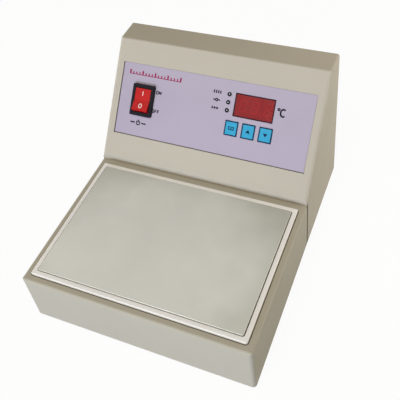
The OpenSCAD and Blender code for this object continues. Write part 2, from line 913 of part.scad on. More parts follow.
module head_housing() {
    open_w = inner_w - 2 * flange_w;
    color("#c8c1ae") difference() {
        union() {
            difference() {
                head_block(head_outline(), 0);
                head_block(head_inside(), sheet_t);
            }
            head_flanges();
        }
        translate([-open_w / 2, lip_y - cut, foot_h - cut])
            cube([open_w, sheet_t + 2 * cut, base_h - flange_w + cut]);
        translate([-inner_w / 2, lip_y - cut, foot_h - cut])
            cube([inner_w, flange_w, sheet_t + cut]);
        on_panel(0, window_s, -sheet_t - cut) block(window_w, window_h, sheet_t + 2 * cut);
        at_joining_screws() through(m3_tap_r, 2 * sheet_t + seam_gap);
        at_bottom_screws() through(m3_tap_r, 2 * sheet_t);
        at_rear_screws() through(m3_tap_r, 2 * sheet_t);
    }
}

module at_louvres() {
    for (i = [0 : louvre_count - 1])
        translate([louvre_x, rear_y - sheet_t / 2, foot_h + louvre_low + i * louvre_pitch])
            children();
}

// A quarter-round hood of radius r, open below
module quarter(w, r, hollow_r) {
    translate([-w / 2, 0, 0]) rotate([90, 0, 90]) linear_extrude(w) difference() {
        intersection() {
            circle(r);
            square(r);
        }
        circle(hollow_r);
    }
}

module louvre_hood() {
    r = louvre_r + sheet_t / 2;
    quarter(louvre_w, r, r - louvre_t);
    mirror_x() translate([(louvre_w - louvre_t) / 2, 0, 0]) rotate([90, 0, 90])
        linear_extrude(louvre_t, center = true) intersection() {
            circle(r);
            square(r);
        }
}

module rear_panel() {
    w = body_w - 2 * (sheet_t + fit_gap);
    h = head_h - sheet_t - 2 * fit_gap;
    slot_h = (louvre_r + sheet_t / 2 - louvre_t) * louvre_open_share;
    color("#bdb5a2") union() {
        difference() {
            translate([0, rear_y, foot_h + fit_gap + h / 2]) rotate([90, 0, 0])
                slab(w, h, sheet_t, panel_corner_r);
            at_louvres() translate([-louvre_w / 2 + louvre_t, -sheet_t / 2 - cut, 0])
                cube([louvre_w - 2 * louvre_t, sheet_t + 2 * cut, slot_h]);
            at_inlet() {
                translate([0, 0, -sheet_t - cut]) slab(inlet_body_w + 2 * fit_gap,
                    inlet_body_h + 2 * fit_gap, sheet_t + 2 * cut, inlet_body_r);
                for (x = [-1, 1] * inlet_screw_dx / 2) translate([x, 0, 0])
                    through(m3_hole_r, sheet_t);
            }
            at_rear_screws() through(m3_hole_r, sheet_t);
        }
        at_louvres() louvre_hood();
    }
}

module bottom_plate() {
    w = inner_w - 2 * fit_gap;
    low_y = front_y + sheet_t + fit_gap;
    high_y = panel_y - fit_gap;
    color("#a9a79f") difference() {
        translate([0, (low_y + high_y) / 2, foot_h]) slab(w, high_y - low_y, sheet_t, bottom_corner_r);
        at_bottom_screws() through(m3_hole_r, sheet_t);
        at_feet() translate([0, 0, floor_z]) through(m3_hole_r, sheet_t);
        at_posts() translate([0, 0, floor_z]) through(m3_hole_r, sheet_t);
        at_power_screws() translate([0, 0, floor_z]) through(m3_hole_r, sheet_t);
        for (i = [0 : vent_count - 1])
            translate([(i - (vent_count - 1) / 2) * vent_pitch, lip_y + vent_y, foot_h - cut])
                slab(vent_w, vent_l, sheet_t + 2 * cut, vent_w * vent_round_share);
    }
}

module rubber_feet() {
    color("#26262a") at_feet() difference() {
        cylinder(r1 = foot_r * foot_taper_share, r2 = foot_r, h = foot_h);
        translate([0, 0, foot_h]) through(m3_hole_r, foot_h);
        translate([0, 0, -cut]) cylinder(r = foot_bore_r, h = foot_h - foot_floor + cut);
    }
}

module foot_screws() {
    color("#b9bcc0") at_feet() translate([0, 0, foot_h - foot_floor]) rotate([180, 0, 0])
        m3_screw(foot_screw_l);
}

module foot_nuts() {
    color("#b9bcc0") at_feet() translate([0, 0, floor_z]) nut(nut_af, nut_h, m3_tap_r);
}

module bottom_screws() {
    color("#b9bcc0") at_bottom_screws() m3_screw(bottom_screw_l);
}

module joining_screws() {
    color("#b9bcc0") at_joining_screws() m3_screw(joining_screw_l);
}

module rear_panel_screws() {
    color("#b9bcc0") at_rear_screws() m3_screw(panel_screw_l);
}

module plate_gasket() {
    lip_top_z = base_top_z - sheet_t;
    color("#dcdad2") translate([0, plate_y, 0]) difference() {
        union() {
            translate([0, 0, base_top_z]) difference() {
                slab(gasket_w_all, gasket_d_all, gasket_rise, gasket_corner_r);
                translate([0, 0, gasket_rise])
                    top_edge_waste(gasket_w_all, gasket_d_all, gasket_edge_r);
            }
            translate([0, 0, lip_top_z - gasket_lip])
                slab(skirt_w, skirt_d, base_top_z - lip_top_z + gasket_lip + gasket_rise / 2,
                    opening_corner_r);
            translate([0, 0, lip_top_z - gasket_lip]) slab(skirt_w + 2 * gasket_lip_w,
                skirt_d + 2 * gasket_lip_w, gasket_lip, gasket_corner_r);
        }
        translate([0, 0, lip_top_z - gasket_lip - cut]) slab(plate_w + 2 * plate_gap,
            plate_d + 2 * plate_gap, plate_t, plate_corner_r);
    }
}

module heating_plate() {
    color("#b9b6ad") difference() {
        translate([0, plate_y, plate_low_z]) difference() {
            slab(plate_w, plate_d, plate_t, plate_corner_r);
            translate([0, 0, plate_t]) top_edge_waste(plate_w, plate_d, plate_edge_r);
            translate([probe_x, plate_d / 2, probe_up]) rotate([-90, 0, 0])
                bore(probe_r + side_gap, probe_depth + side_gap);
        }
        at_posts() translate([0, 0, plate_low_z]) rotate([180, 0, 0]) bore(m4_tap_r, tap_depth);
        at_clamp_screws() bore(m4_tap_r, clamp_t + heater_t + tap_depth);
        at_cutout_screws() bore(m3_tap_r, cutout_ear_t + clamp_t + heater_t + cutout_tap_depth);
    }
}

// Holes for the posts through a layer whose underside is at z and whose thickness is t
module layer_holes(z, t) {
    at_posts() translate([0, 0, z + t]) through(post_af / 2 / cos(30) + post_room, t);
}

module heater_element() {
    w = plate_w - 2 * heater_inset;
    d = plate_d - 2 * heater_inset;
    color("#9a6f3c") difference() {
        translate([0, plate_y, heater_low_z]) {
            slab(w, d, heater_t, sheet_corner_r);
            for (x = [-heater_tab_dx, heater_tab_dx] / 2)
                translate([grommet_x + x, d / 2, 0]) block(heater_tab_w, 2 * heater_tab_l, heater_t);
        }
        layer_holes(heater_low_z, heater_t);
        at_clamp_screws() through(m4_hole_r, clamp_t + heater_t);
        at_cutout_screws() through(m3_hole_r, cutout_ear_t + clamp_t + heater_t);
    }
}

module heater_clamp_plate() {
    color("#8f9296") difference() {
        translate([0, plate_y, clamp_low_z]) slab(clamp_w, clamp_d, clamp_t, sheet_corner_r);
        layer_holes(clamp_low_z, clamp_t);
        at_clamp_screws() through(m4_hole_r, clamp_t);
        at_cutout_screws() through(m3_hole_r, cutout_ear_t + clamp_t);
    }
}

module clamp_screws() {
    color("#b9bcc0") {
        at_clamp_screws() screw(m4_r, m4_head_r, m4_head_h, clamp_t + heater_t + clamp_screw_in);
        at_cutout_screws() m3_screw(cutout_ear_t + clamp_t + heater_t + cutout_screw_in);
    }
}

module insulation_board() {
    color("#d9d2c0") difference() {
        translate([0, plate_y, insulation_low_z]) slab(clamp_w - 2 * insulation_inset,
            clamp_d - 2 * insulation_inset, insulation_t, sheet_corner_r);
        layer_holes(insulation_low_z, insulation_t);
        at_clamp_screws() rotate([180, 0, 0]) through(m4_head_r + head_room, insulation_t);
        translate([0, plate_y, insulation_low_z - cut]) slab(cutout_ear_w + 2 * cutout_room,
            2 * (cutout_r + cutout_room), insulation_t + 2 * cut, sheet_corner_r);
    }
}

module plate_posts() {
    color("#c9b458") at_posts() difference() {
        union() {
            translate([0, 0, floor_z]) hexagon(post_af, plate_low_z - floor_z);
            translate([0, 0, plate_low_z]) cylinder(r = m4_r, h = post_stud_l);
        }
        translate([0, 0, floor_z]) rotate([180, 0, 0]) bore(m3_tap_r, tap_depth);
    }
}

module post_screws() {
    color("#b9bcc0") at_posts() translate([0, 0, foot_h]) rotate([180, 0, 0])
        m3_screw(post_screw_l);
}

module temperature_probe() {
    color("#c2c4c6") translate([probe_x, plate_y + plate_d / 2 + probe_tail, plate_low_z + probe_up])
        rotate([90, 0, 0]) cylinder(r = probe_r, h = probe_depth + probe_tail);
}

module thermal_cutout() {
    color("#3b3b3f") difference() {
        translate([0, plate_y, clamp_low_z]) {
            translate([0, 0, -cutout_ear_t])
                slab(cutout_ear_w, cutout_ear_d, cutout_ear_t, sheet_corner_r);
            translate([0, 0, -cutout_h]) cylinder(r = cutout_r, h = cutout_h);
            for (x = [-cutout_tab_dx, cutout_tab_dx] / 2)
                translate([x, 0, -cutout_h - cutout_tab_l])
                    block(cutout_tab_t, cutout_tab_w, cutout_tab_l + cut);
        }
        at_cutout_screws() through(m3_hole_r, cutout_ear_t);
    }
}

// Everything that shows through the film, cut from z = 0 down to depth t
module panel_holes(t, key_clear) {
    on_panel(switch_x, switch_s, -t) block(switch_w + 2 * cutout_gap, switch_h + 2 * cutout_gap,
        t + cut);
    on_panel(display_x, display_s, -t) block(filter_w, filter_h, t + cut);
    for (i = [-1 : 1]) at_key(i, -t)
        slab(key_w + 2 * key_clear, key_h + 2 * key_clear, t + cut, key_corner_r);
    at_lamps() bore(lamp_r + lamp_gap, t);
}

module panel_carrier() {
    w = inner_w - 2 * carrier_side;
    h = slope_l - carrier_low - carrier_high;
    color("#232427") difference() {
        on_panel(0, carrier_low + h / 2, carrier_n) slab(w, h, carrier_t, sheet_corner_r);
        panel_holes(-carrier_n + cut, key_room);
        at_panel_studs() through(m3_hole_r, carrier_t);
    }
}

module panel_label() {
    color("#bdb5cc") difference() {
        on_panel(film_x, film_s, -sheet_t) block(film_w, film_h, film_t);
        panel_holes(sheet_t + cut, key_gap);
    }
}

module panel_studs() {
    color("#b9bcc0") at_panel_studs() translate([0, 0, -stud_l]) cylinder(r = m3_r, h = stud_l);
}

module panel_nuts() {
    color("#b9bcc0") at_panel_studs() translate([0, 0, -carrier_t - nut_h])
        nut(nut_af, nut_h, m3_tap_r);
}

module display_filter() {
    color("#6e1a22") on_panel(display_x, display_s, film_n - filter_t)
        block(filter_w - 2 * filter_gap, filter_h - 2 * filter_gap, filter_t);
}

module display_module() {
    color("#2c2426") on_panel(display_x, display_s, board_n) difference() {
        block(module_w, module_h, module_n - board_n);
        for (i = [0 : digit_count - 1])
            translate([(i - (digit_count - 1) / 2) * digit_pitch, 0, module_n - board_n - digit_depth])
                block(digit_w, digit_h, digit_depth + cut);
    }
}

// A lamp with a domed tip on a wider base
module indicator_lamps() {
    color("#33353a") at_lamps() translate([0, 0, lamp_base_n]) rotate_extrude() {
        square([lamp_base_r, lamp_base_t]);
        translate([0, lamp_base_t / 2]) square([lamp_r, lamp_base_t / 2 + lamp_l - lamp_r]);
        translate([0, lamp_base_t + lamp_l - lamp_r]) intersection() {
            circle(lamp_r);
            square(lamp_r);
        }
    }
}

module lamp_spacers() {
    color("#d8d6cf") at_lamps() translate([0, 0, board_n]) difference() {
        cylinder(r = lamp_base_r, h = lamp_base_n - board_n);
        translate([0, 0, -cut]) cylinder(r = lamp_base_r - lamp_wall, h = lamp_base_n - board_n + 2 * cut);
    }
}

// A key field and the stem behind it
module key_pad(i) {
    color("#41afdc") at_key(i, -sheet_t) slab(key_w, key_h, sheet_t + key_n, key_corner_r);
}

module key_stem(i) {
    low_n = board_n + key_switch_h - stem_in;
    color("#e4e2da") at_key(i, low_n) cylinder(r = stem_r, h = -sheet_t - low_n);
}

module set_key() {
    key_pad(-1);
}

module raise_key() {
    key_pad(0);
}

module lower_key() {
    key_pad(1);
}

module set_key_stem() {
    key_stem(-1);
}

module raise_key_stem() {
    key_stem(0);
}

module lower_key_stem() {
    key_stem(1);
}

module key_switches() {
    color("#2b2b2f") for (i = [-1 : 1]) at_key(i, board_n) difference() {
        block(key_switch_w, key_switch_w, key_switch_h);
        translate([0, 0, key_switch_h]) bore(stem_r + run_gap, stem_in + stem_room);
    }
}

module control_board() {
    color("#2f6b45") difference() {
        on_panel(board_x, board_s, board_back_n) slab(board_w, board_h, board_t, board_corner_r);
        at_board_screws() through(m3_hole_r, board_t);
    }
}

module board_spacers() {
    color("#c9b458") at_board_screws() translate([0, 0, -board_t - board_standoff_h])
        nut(spacer_af, board_standoff_h, m3_tap_r);
}

module board_screws() {
    color("#b9bcc0") at_board_screws() m3_screw(board_screw_l);
}

module control_chip() {
    color("#26272b") on_panel(board_x + chip_right, board_s + chip_up, board_back_n - chip_t)
        block(chip_w, chip_h, chip_t);
}

module board_connectors() {
    color("#e6e2d4") {
        on_panel(connector_x, board_s - connector_down, board_back_n - connector_h)
            block(connector_w, connector_d, connector_h);
        translate([connector_x, power_y + power_connector_y, power_top_z])
            block(connector_w, connector_d, connector_h);
    }
}

module switch_housing() {
    cavity_l = 2 * (rocker_r + rocker_gap);
    cavity_n = switch_low_n + switch_floor_t;
    color("#1b1b20") difference() {
        union() {
            on_panel(switch_x, switch_s, film_n) difference() {
                slab(bezel_w, bezel_h, bezel_t, bezel_corner_r);
                translate([0, 0, bezel_t]) top_edge_waste(bezel_w, bezel_h, bezel_edge_r);
            }
            on_panel(switch_x, switch_s, switch_low_n)
                slab(switch_w, switch_h, switch_depth + bezel_t / 2, switch_corner_r);
            on_panel(switch_x, switch_s, carrier_n - clip_step) mirror_y()
                translate([-clip_w / 2, switch_h / 2, 0]) rotate([90, 0, 90]) linear_extrude(clip_w)
                    polygon([[-clip_root, 0], [-clip_root, -clip_l], [0, -clip_l], [clip_out, 0]]);
        }
        on_panel(switch_x, switch_s, cavity_n)
            block(rocker_w + 2 * rocker_gap, cavity_l, film_n + bezel_t + cut - cavity_n);
        on_panel(switch_x - switch_w / 2, switch_s, pivot_n) rotate([0, 90, 0])
            cylinder(r = pivot_r + run_gap, h = switch_w);
    }
}

module switch_terminals() {
    color("#c9b458") on_panel(switch_x, switch_s, switch_low_n - tab_length)
        at_corners(tab_dx, tab_ds) difference() {
            block(tab_w, tab_t, tab_length);
            translate([0, tab_t / 2, tab_hole_in]) rotate([-90, 0, 0])
                through(tab_hole_r, tab_t);
        }
}

// The rocker's side outline: s along the panel and n outward, from its pivot, with its upper
// half level and its lower half standing out by twice the tilt
module rocker_outline(r, valley, low) {
    intersection() {
        circle(r);
        polygon([[-r, low], [r, low], [r, valley], [0, valley], [-r, valley + r * tan(2 * rocker_tilt)]]);
    }
}

module rocker_prism(w) {
    translate([-w / 2, 0, 0]) rotate([90, 0, 90]) linear_extrude(w) children();
}

module rocker() {
    inner_valley = rocker_valley - rocker_wall;
    pin_l = rocker_gap + pivot_in + rocker_wall / 2;
    color("#c8202a") on_panel(switch_x, switch_s, pivot_n) difference() {
        union() {
            difference() {
                rocker_prism(rocker_w) rocker_outline(rocker_r, rocker_valley, -rocker_low);
                rocker_prism(rocker_w - 2 * rocker_wall)
                    rocker_outline(rocker_r - rocker_wall, inner_valley, -rocker_low - cut);
            }
            translate([0, 0, -rocker_low])
                cylinder(r = rocker_boss_r, h = rocker_low + rocker_valley - rocker_wall / 2);
            mirror_x() translate([rocker_w / 2 - rocker_wall / 2, 0, 0]) rotate([0, 90, 0])
                cylinder(r = pivot_r, h = pin_l);
        }
        translate([0, 0, -rocker_low]) rotate([180, 0, 0]) bore(rocker_bore_r, rocker_low);
    }
}

module power_board() {
    color("#2f6b45") difference() {
        translate([power_x + power_w / 2, power_y + power_d / 2, power_z])
            slab(power_w, power_d, board_t, board_corner_r);
        at_power_screws() translate([0, 0, power_top_z]) through(m3_hole_r, board_t);
    }
}

module power_board_spacers() {
    color("#c9b458") at_power_screws() translate([0, 0, floor_z])
        nut(spacer_af, power_standoff_h, m3_tap_r);
}

module power_board_screws() {
    color("#b9bcc0") at_power_screws() {
        translate([0, 0, power_top_z]) m3_screw(power_screw_l);
        translate([0, 0, foot_h]) rotate([180, 0, 0]) m3_screw(power_low_screw_l);
    }
}

module on_power_board(x, y) {
    translate([power_x + x, power_y + y, power_top_z]) children();
}

// A shell core: three upright legs joined above and below, with the coil in its two windows
module transformer_core() {
    leg = core_w * core_leg_share;
    window = leg;
    color("#4c4e52") on_power_board(core_x, core_y) difference() {
        block(core_w, core_t, core_h);
        mirror_x() translate([core_w / 2 - leg - window / 2, 0, leg])
            block(window, core_t + 2 * cut, core_h - 2 * leg);
    }
}

module transformer_coil() {
    leg = core_w * core_leg_share;
    hole_w = core_w - 4 * leg + 2 * coil_gap;
    w = core_w - 2 * leg - 2 * coil_gap;
    h = core_h - 2 * leg - 2 * coil_gap;
    color("#b98a2f") on_power_board(core_x, core_y) translate([0, 0, leg + coil_gap]) difference() {
        slab(w, core_t + 2 * coil_out, h, coil_corner_r);
        translate([0, 0, -cut]) block(hole_w, core_t + 2 * coil_gap, h + 2 * cut);
    }
}

module relay() {
    color("#2f6fb0") on_power_board(relay_x, relay_y) difference() {
        slab(relay_w, relay_d, relay_h, relay_edge_r);
        translate([0, 0, relay_h]) top_edge_waste(relay_w, relay_d, relay_edge_r);
    }
}

module capacitor(r, h) {
    difference() {
        cylinder(r = r, h = h);
        translate([0, 0, cap_groove_up]) difference() {
            cylinder(r = r + cut, h = cap_groove_h);
            translate([0, 0, -cut]) cylinder(r = r - cap_groove_in, h = cap_groove_h + 2 * cut);
        }
    }
}

module capacitors() {
    color("#2a3350") {
        on_power_board(cap_x, power_d * cap_y_shares[0])
            capacitor(power_d * cap_r_shares[0], big_cap_h);
        on_power_board(cap_x, power_d * cap_y_shares[1])
            capacitor(power_d * cap_r_shares[1], small_cap_h);
    }
}

module terminal_block() {
    w = terminal_pitch * terminal_count;
    color("#3f8a4e") on_power_board(terminal_x, terminal_y) difference() {
        translate([-w / 2, 0, 0]) rotate([90, 0, 90]) linear_extrude(w)
            polygon([for (p = terminal_outline_shares) [p.x * terminal_d, p.y * terminal_h]]);
        for (i = [0 : terminal_count - 1])
            translate([(i - (terminal_count - 1) / 2) * terminal_pitch, 0, 0]) {
                translate([0, -terminal_d / 2, terminal_hole_up]) rotate([90, 0, 0])
                    bore(terminal_hole_r, terminal_hole_in);
                translate([0, 0, terminal_h]) bore(terminal_screw_r, terminal_screw_in);
            }
    }
}

// The end of a lead inside entry i of the terminal block
function entry_point(i) = [power_x + terminal_x + (i - (terminal_count - 1) / 2) * terminal_pitch,
    power_y + terminal_y - terminal_d / 2, power_top_z + terminal_hole_up];

module inlet_socket() {
    back_z = inlet_flange_t - inlet_depth;
    color("#222226") at_inlet() difference() {
        union() {
            slab(inlet_flange_w, inlet_flange_h, inlet_flange_t, inlet_corner_r);
            translate([0, 0, back_z]) slab(inlet_body_w, inlet_body_h, inlet_depth, inlet_body_r);
        }
        translate([0, cavity_up, inlet_flange_t - cavity_depth]) linear_extrude(cavity_depth + cut)
            polygon([[-cavity_w, -cavity_h] / 2, [cavity_w, -cavity_h] / 2,
                [cavity_w / 2, cavity_h / 2 - cavity_chamfer],
                [cavity_w / 2 - cavity_chamfer, cavity_h / 2],
                [-cavity_w / 2 + cavity_chamfer, cavity_h / 2],
                [-cavity_w / 2, cavity_h / 2 - cavity_chamfer]]);
        at_pins() translate([0, 0, back_z - cut])
            block(pin_w + 2 * pin_gap, pin_h + 2 * pin_gap, inlet_depth);
        translate([0, -drawer_down, inlet_flange_t - drawer_l - drawer_end_gap])
            block(drawer_w, drawer_h, drawer_l + drawer_end_gap + cut);
        at_csk() cylinder(r1 = m3_r + side_gap, r2 = m3_head_r + side_gap, h = csk_h);
        at_csk() translate([0, 0, csk_h]) bore(m3_r + side_gap, inlet_flange_t + cut);
        at_csk() translate([0, 0, csk_h]) cylinder(r = m3_head_r + side_gap, h = cut);
    }
}

module at_pins() {
    for (p = [[-pin_dx, -pin_step], [pin_dx, -pin_step], [0, pin_step]] / 2)
        translate([p.x, cavity_up + p.y, 0]) children();
}

// The foot of the countersink of each inlet screw
module at_csk() {
    for (x = [-1, 1] * inlet_screw_dx / 2) translate([x, 0, inlet_flange_t - csk_h]) children();
}

module inlet_pins() {
    back_z = inlet_flange_t - inlet_depth - pin_tail;
    color("#c2c4c6") at_inlet() at_pins() translate([0, 0, back_z])
        block(pin_w, pin_h, inlet_flange_t - pin_recess - back_z);
}

module inlet_screws() {
    color("#b9bcc0") at_inlet() {
        at_csk() cylinder(r1 = m3_r, r2 = m3_head_r, h = csk_h);
        at_csk() translate([0, 0, csk_h / 2 - inlet_screw_l]) cylinder(r = m3_r, h = inlet_screw_l);
        for (x = [-1, 1] * inlet_screw_dx / 2) translate([x, 0, -sheet_t - nut_h])
            nut(nut_af, nut_h, m3_tap_r);
    }
}

module at_fuses() {
    for (x = [-fuse_dx, fuse_dx] / 2)
        translate([x, fuse_up - drawer_down, inlet_flange_t - drawer_l + fuse_back]) children();
}

module fuse_drawer() {
    trough_r = fuse_r + fuse_gap;
    trough_l = fuse_l + 2 * fuse_gap;
    color("#222226") at_inlet() difference() {
        translate([0, -drawer_down, inlet_flange_t - drawer_l])
            block(drawer_w - 2 * drawer_gap, drawer_h - 2 * drawer_gap, drawer_l);
        at_fuses() {
            cylinder(r = trough_r, h = trough_l);
            translate([-trough_r, 0, 0]) cube([2 * trough_r, drawer_h, trough_l]);
        }
        translate([0, drawer_h / 2 - drawer_gap - grip_h / 2 - drawer_down, inlet_flange_t - grip_in])
            block(grip_w, grip_h + cut, grip_in + cut);
    }
}

module fuses() {
    color("#cfd3d6") at_inlet() at_fuses() translate([0, 0, fuse_gap]) {
        cylinder(r = fuse_r, h = fuse_cap_l);
        cylinder(r = fuse_r - fuse_step, h = fuse_l);
        translate([0, 0, fuse_l - fuse_cap_l]) cylinder(r = fuse_r, h = fuse_cap_l);
    }
}

module earth_stud() {
    color("#b9bcc0") translate([earth_x, lip_y + earth_y, floor_z]) {
        cylinder(r = m4_r, h = earth_stud_l);
        difference() {
            cylinder(r = earth_lug_r, h = earth_lug_t);
            translate([0, 0, -cut]) cylinder(r = m4_tap_r, h = earth_lug_t + 2 * cut);
        }
        translate([0, 0, earth_lug_t]) nut(earth_nut_af, earth_nut_h, m4_tap_r);
    }
}

module lead_grommet() {
    color("#2a2a2d") translate([grommet_x, base_rear_y, grommet_z]) rotate([-90, 0, 0]) difference() {
        union() {
            cylinder(r = grommet_r, h = grommet_t);
            translate([0, 0, -sheet_t]) cylinder(r = grommet_hole_r - side_gap, h = sheet_t);
            translate([0, 0, -sheet_t - grommet_t]) cylinder(r = grommet_r, h = grommet_t);
        }
        translate([0, 0, grommet_t]) through(grommet_bore_r, sheet_t + 2 * grommet_t);
    }
}

module ribbon_cable() {
    start = panel_point(connector_x, board_s - connector_down, board_back_n - connector_h);
    end = [start.x, power_y + power_connector_y, power_top_z + connector_h];
    color("#8e9299") sweep(curve(start, [0, sin(lean_a), -cos(lean_a)] * mid_reach,
        end, [0, 0, long_reach], lead_rings), [[-ribbon_w, -ribbon_t], [ribbon_w, -ribbon_t],
        [ribbon_w, ribbon_t], [-ribbon_w, ribbon_t]] / 2, [1, 0, 0]);
}

// Where leads cross the grommet, and the way from there into entry i of the terminal block
function grommet_point(dx, dz) = [grommet_x + dx, base_rear_y - sheet_t / 2, grommet_z + dz];
function way_in(i) = [entry_point(i) + [0, terminal_hole_in - lead_r, 0]];

// The way of a lead from point a in the base, through the grommet, into entry i
function from_base(a, dx, dz, i) = concat(
    curve(a, [0, short_reach, 0], grommet_point(dx, dz), [0, -entry_reach, 0], lead_rings),
    [for (p = curve(grommet_point(dx, dz), [0, short_reach, 0], entry_point(i), [0, -short_reach, 0],
        lead_rings)) if (p.y > base_rear_y) p], way_in(i));

module power_leads() {
    down = [0, sin(lean_a), -cos(lean_a)];
    back = inlet_flange_t - inlet_depth - pin_tail;
    line = inlet_point(pin_dx / 2, cavity_up - pin_step / 2, back);
    neutral = inlet_point(-pin_dx / 2, cavity_up - pin_step / 2, back);
    earth = inlet_point(0, cavity_up + pin_step / 2, back);
    live_in = panel_point(switch_x + tab_dx / 2, switch_s - tab_ds / 2, switch_low_n - tab_length);
    live_out = panel_point(switch_x + tab_dx / 2, switch_s + tab_ds / 2, switch_low_n - tab_length);
    lug = [earth_x + earth_lug_r, lip_y + earth_y, floor_z + lead_r + side_gap];
    heater_end = plate_y + plate_d / 2 - heater_inset + heater_tab_l;
    heater_mid = heater_low_z + heater_t / 2;
    color("#8a5a2a") {
        lead(curve(line, [0, -mid_reach, 0], live_in, down * short_reach, lead_rings));
        lead(concat(curve(live_out, down * short_reach, entry_point(1), [0, -wide_reach, 0], lead_rings),
            way_in(1)));
    }
    color("#3a63a8") lead(concat(curve(neutral, [0, -long_reach, 0], entry_point(0),
        [0, -wide_reach, 0], lead_rings), way_in(0)));
    color("#6f9a3a") lead(curve(earth, [0, -mid_reach, 0], lug, [long_reach, 0, 0], lead_rings), [0, 0, 1]);
    color("#d9d2c0") {
        lead(from_base([grommet_x - heater_tab_dx / 2, heater_end, heater_mid], -lead_spread, 0, 3));
        lead(from_base([grommet_x + heater_tab_dx / 2, heater_end, heater_mid], lead_spread, 0, 5));
        lead(from_base([probe_x, plate_y + plate_d / 2 + probe_tail, plate_low_z + probe_up],
            0, -lead_spread, 4));
    }
}

base_housing();
head_housing();
rear_panel();
bottom_plate();
rubber_feet();
foot_screws();
foot_nuts();
bottom_screws();
joining_screws();
rear_panel_screws();
plate_gasket();
heating_plate();
heater_element();
heater_clamp_plate();
clamp_screws();
insulation_board();
plate_posts();
post_screws();
temperature_probe();
thermal_cutout();
panel_carrier();
panel_label();
panel_studs();
panel_nuts();
display_filter();
display_module();
indicator_lamps();
lamp_spacers();
set_key();
raise_key();
lower_key();
set_key_stem();
raise_key_stem();
lower_key_stem();
key_switches();
control_board();
board_spacers();
board_screws();
control_chip();
board_connectors();
switch_housing();
switch_terminals();
rocker();
power_board();
power_board_spacers();
power_board_screws();
transformer_core();
transformer_coil();
relay();
capacitors();
terminal_block();
inlet_socket();
inlet_pins();
inlet_screws();
fuse_drawer();
fuses();
earth_stud();
lead_grommet();
ribbon_cable();
power_leads();
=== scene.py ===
import json
import math
from collections import namedtuple

import bmesh
import bpy
from mathutils import Euler, Matrix, Vector


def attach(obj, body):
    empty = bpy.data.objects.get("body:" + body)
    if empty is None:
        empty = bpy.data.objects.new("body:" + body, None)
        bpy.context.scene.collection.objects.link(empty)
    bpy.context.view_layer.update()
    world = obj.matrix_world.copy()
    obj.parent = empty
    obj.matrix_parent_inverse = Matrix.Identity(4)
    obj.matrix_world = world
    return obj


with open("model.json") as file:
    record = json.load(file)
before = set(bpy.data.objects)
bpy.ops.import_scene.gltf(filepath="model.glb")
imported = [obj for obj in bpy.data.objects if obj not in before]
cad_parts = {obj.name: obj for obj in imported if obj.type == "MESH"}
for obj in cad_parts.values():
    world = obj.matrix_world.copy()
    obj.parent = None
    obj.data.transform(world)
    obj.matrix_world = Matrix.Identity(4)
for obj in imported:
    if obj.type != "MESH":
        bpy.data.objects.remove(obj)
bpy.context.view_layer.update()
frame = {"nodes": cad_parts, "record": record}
scene = bpy.context.scene
NODES = frame["nodes"]
MM = 0.001


# Places read from the frame, in millimetres

# The middle x and s of a node, its width and height along them, its underside and its upper face.
# The second axis, s, is y in the part's own axes, and runs up the slope in the panel's
Box = namedtuple("Box", "x s w h foot face")
# Places are read to the nearest twentieth of a millimetre
GRID = 0.05


def box_of(name, axes):
    """The box round a node along the given axes."""
    to_axes = axes.inverted() @ NODES[name].matrix_world
    points = [to_axes @ v.co for v in NODES[name].data.vertices]
    low, high = ([round(pick(p[i] for p in points) / MM / GRID) * GRID for i in range(3)]
                 for pick in (min, max))
    return Box((low[0] + high[0]) / 2, (low[1] + high[1]) / 2, high[0] - low[0],
               high[1] - low[1], low[2], high[2])


LEVEL = Matrix()
BASE = box_of("base_housing", LEVEL)
HEAD = box_of("head_housing", LEVEL)
GASKET = box_of("plate_gasket", LEVEL)
PLATE = box_of("heating_plate", LEVEL)

# The narrow seam between the two housings, and the strips of painted shade inside it
WALL_X = BASE.w / 2
SEAM_FRONT = BASE.s + BASE.h / 2
SEAM_BACK = HEAD.s - HEAD.h / 2
SEAM_Y = (SEAM_FRONT + SEAM_BACK) / 2
STRIP_W = SEAM_BACK - SEAM_FRONT - 0.04
SIDE_STRIP_FOOT = BASE.foot + 0.7
SIDE_STRIP_H = 34.6

# The leaning front's own axes: x across, s up the slope and n outward
LEAN = math.radians(49.7341)
PANEL_FOOT_Z = 44.2
PANEL = Matrix.Translation((0, SEAM_BACK * MM, PANEL_FOOT_Z * MM)) @ Matrix.Rotation(LEAN, 4, "X")
FILM = box_of("panel_label", PANEL).face
FILTER = box_of("display_filter", PANEL)
SWITCH = box_of("switch_housing", PANEL)
LAMPS = box_of("indicator_lamps", PANEL)
MODULE_FACE = box_of("display_module", PANEL).face
KEYS = {name: box_of(name, PANEL) for name in ("set_key", "raise_key", "lower_key")}
LAMP_PITCH = (LAMPS.h - LAMPS.w) / 2


# Colours

WHITE = (1, 1, 1, 1)
BLACK = (0, 0, 0, 1)


def lin(r, g, b):
    """A colour seen on screen, 0 to 255, as linear light."""
    def one(c):
        c = c / 255
        return c / 12.92 if c <= 0.04045 else ((c + 0.055) / 1.055) ** 2.4
    return (one(r), one(g), one(b), 1.0)


def shade(colour, k):
    return tuple(min(1.0, c * k) for c in colour[:3]) + (1.0,)


# Parts of a shader

# Sockets of a colour mix: factor, first and second colour, and the result
MIX_FACTOR, MIX_FIRST, MIX_SECOND, MIX_RESULT = 0, 6, 7, 2


def node(tree, kind, **inputs):
    """A new node, with the given inputs set by name."""
    n = tree.nodes.new(kind)
    for key, value in inputs.items():
        n.inputs[key.replace("_", " ")].default_value = value
    return n


def feed(tree, value, socket):
    """A link from a socket, or a plain value, into an input."""
    if isinstance(value, bpy.types.NodeSocket):
        tree.links.new(value, socket)
    else:
        socket.default_value = value


def calc(tree, operation, first, second):
    """The sum, the product or the larger of two values."""
    n = tree.nodes.new("ShaderNodeMath")
    n.operation = operation
    feed(tree, first, n.inputs[0])
    feed(tree, second, n.inputs[1])
    return n.outputs[0]


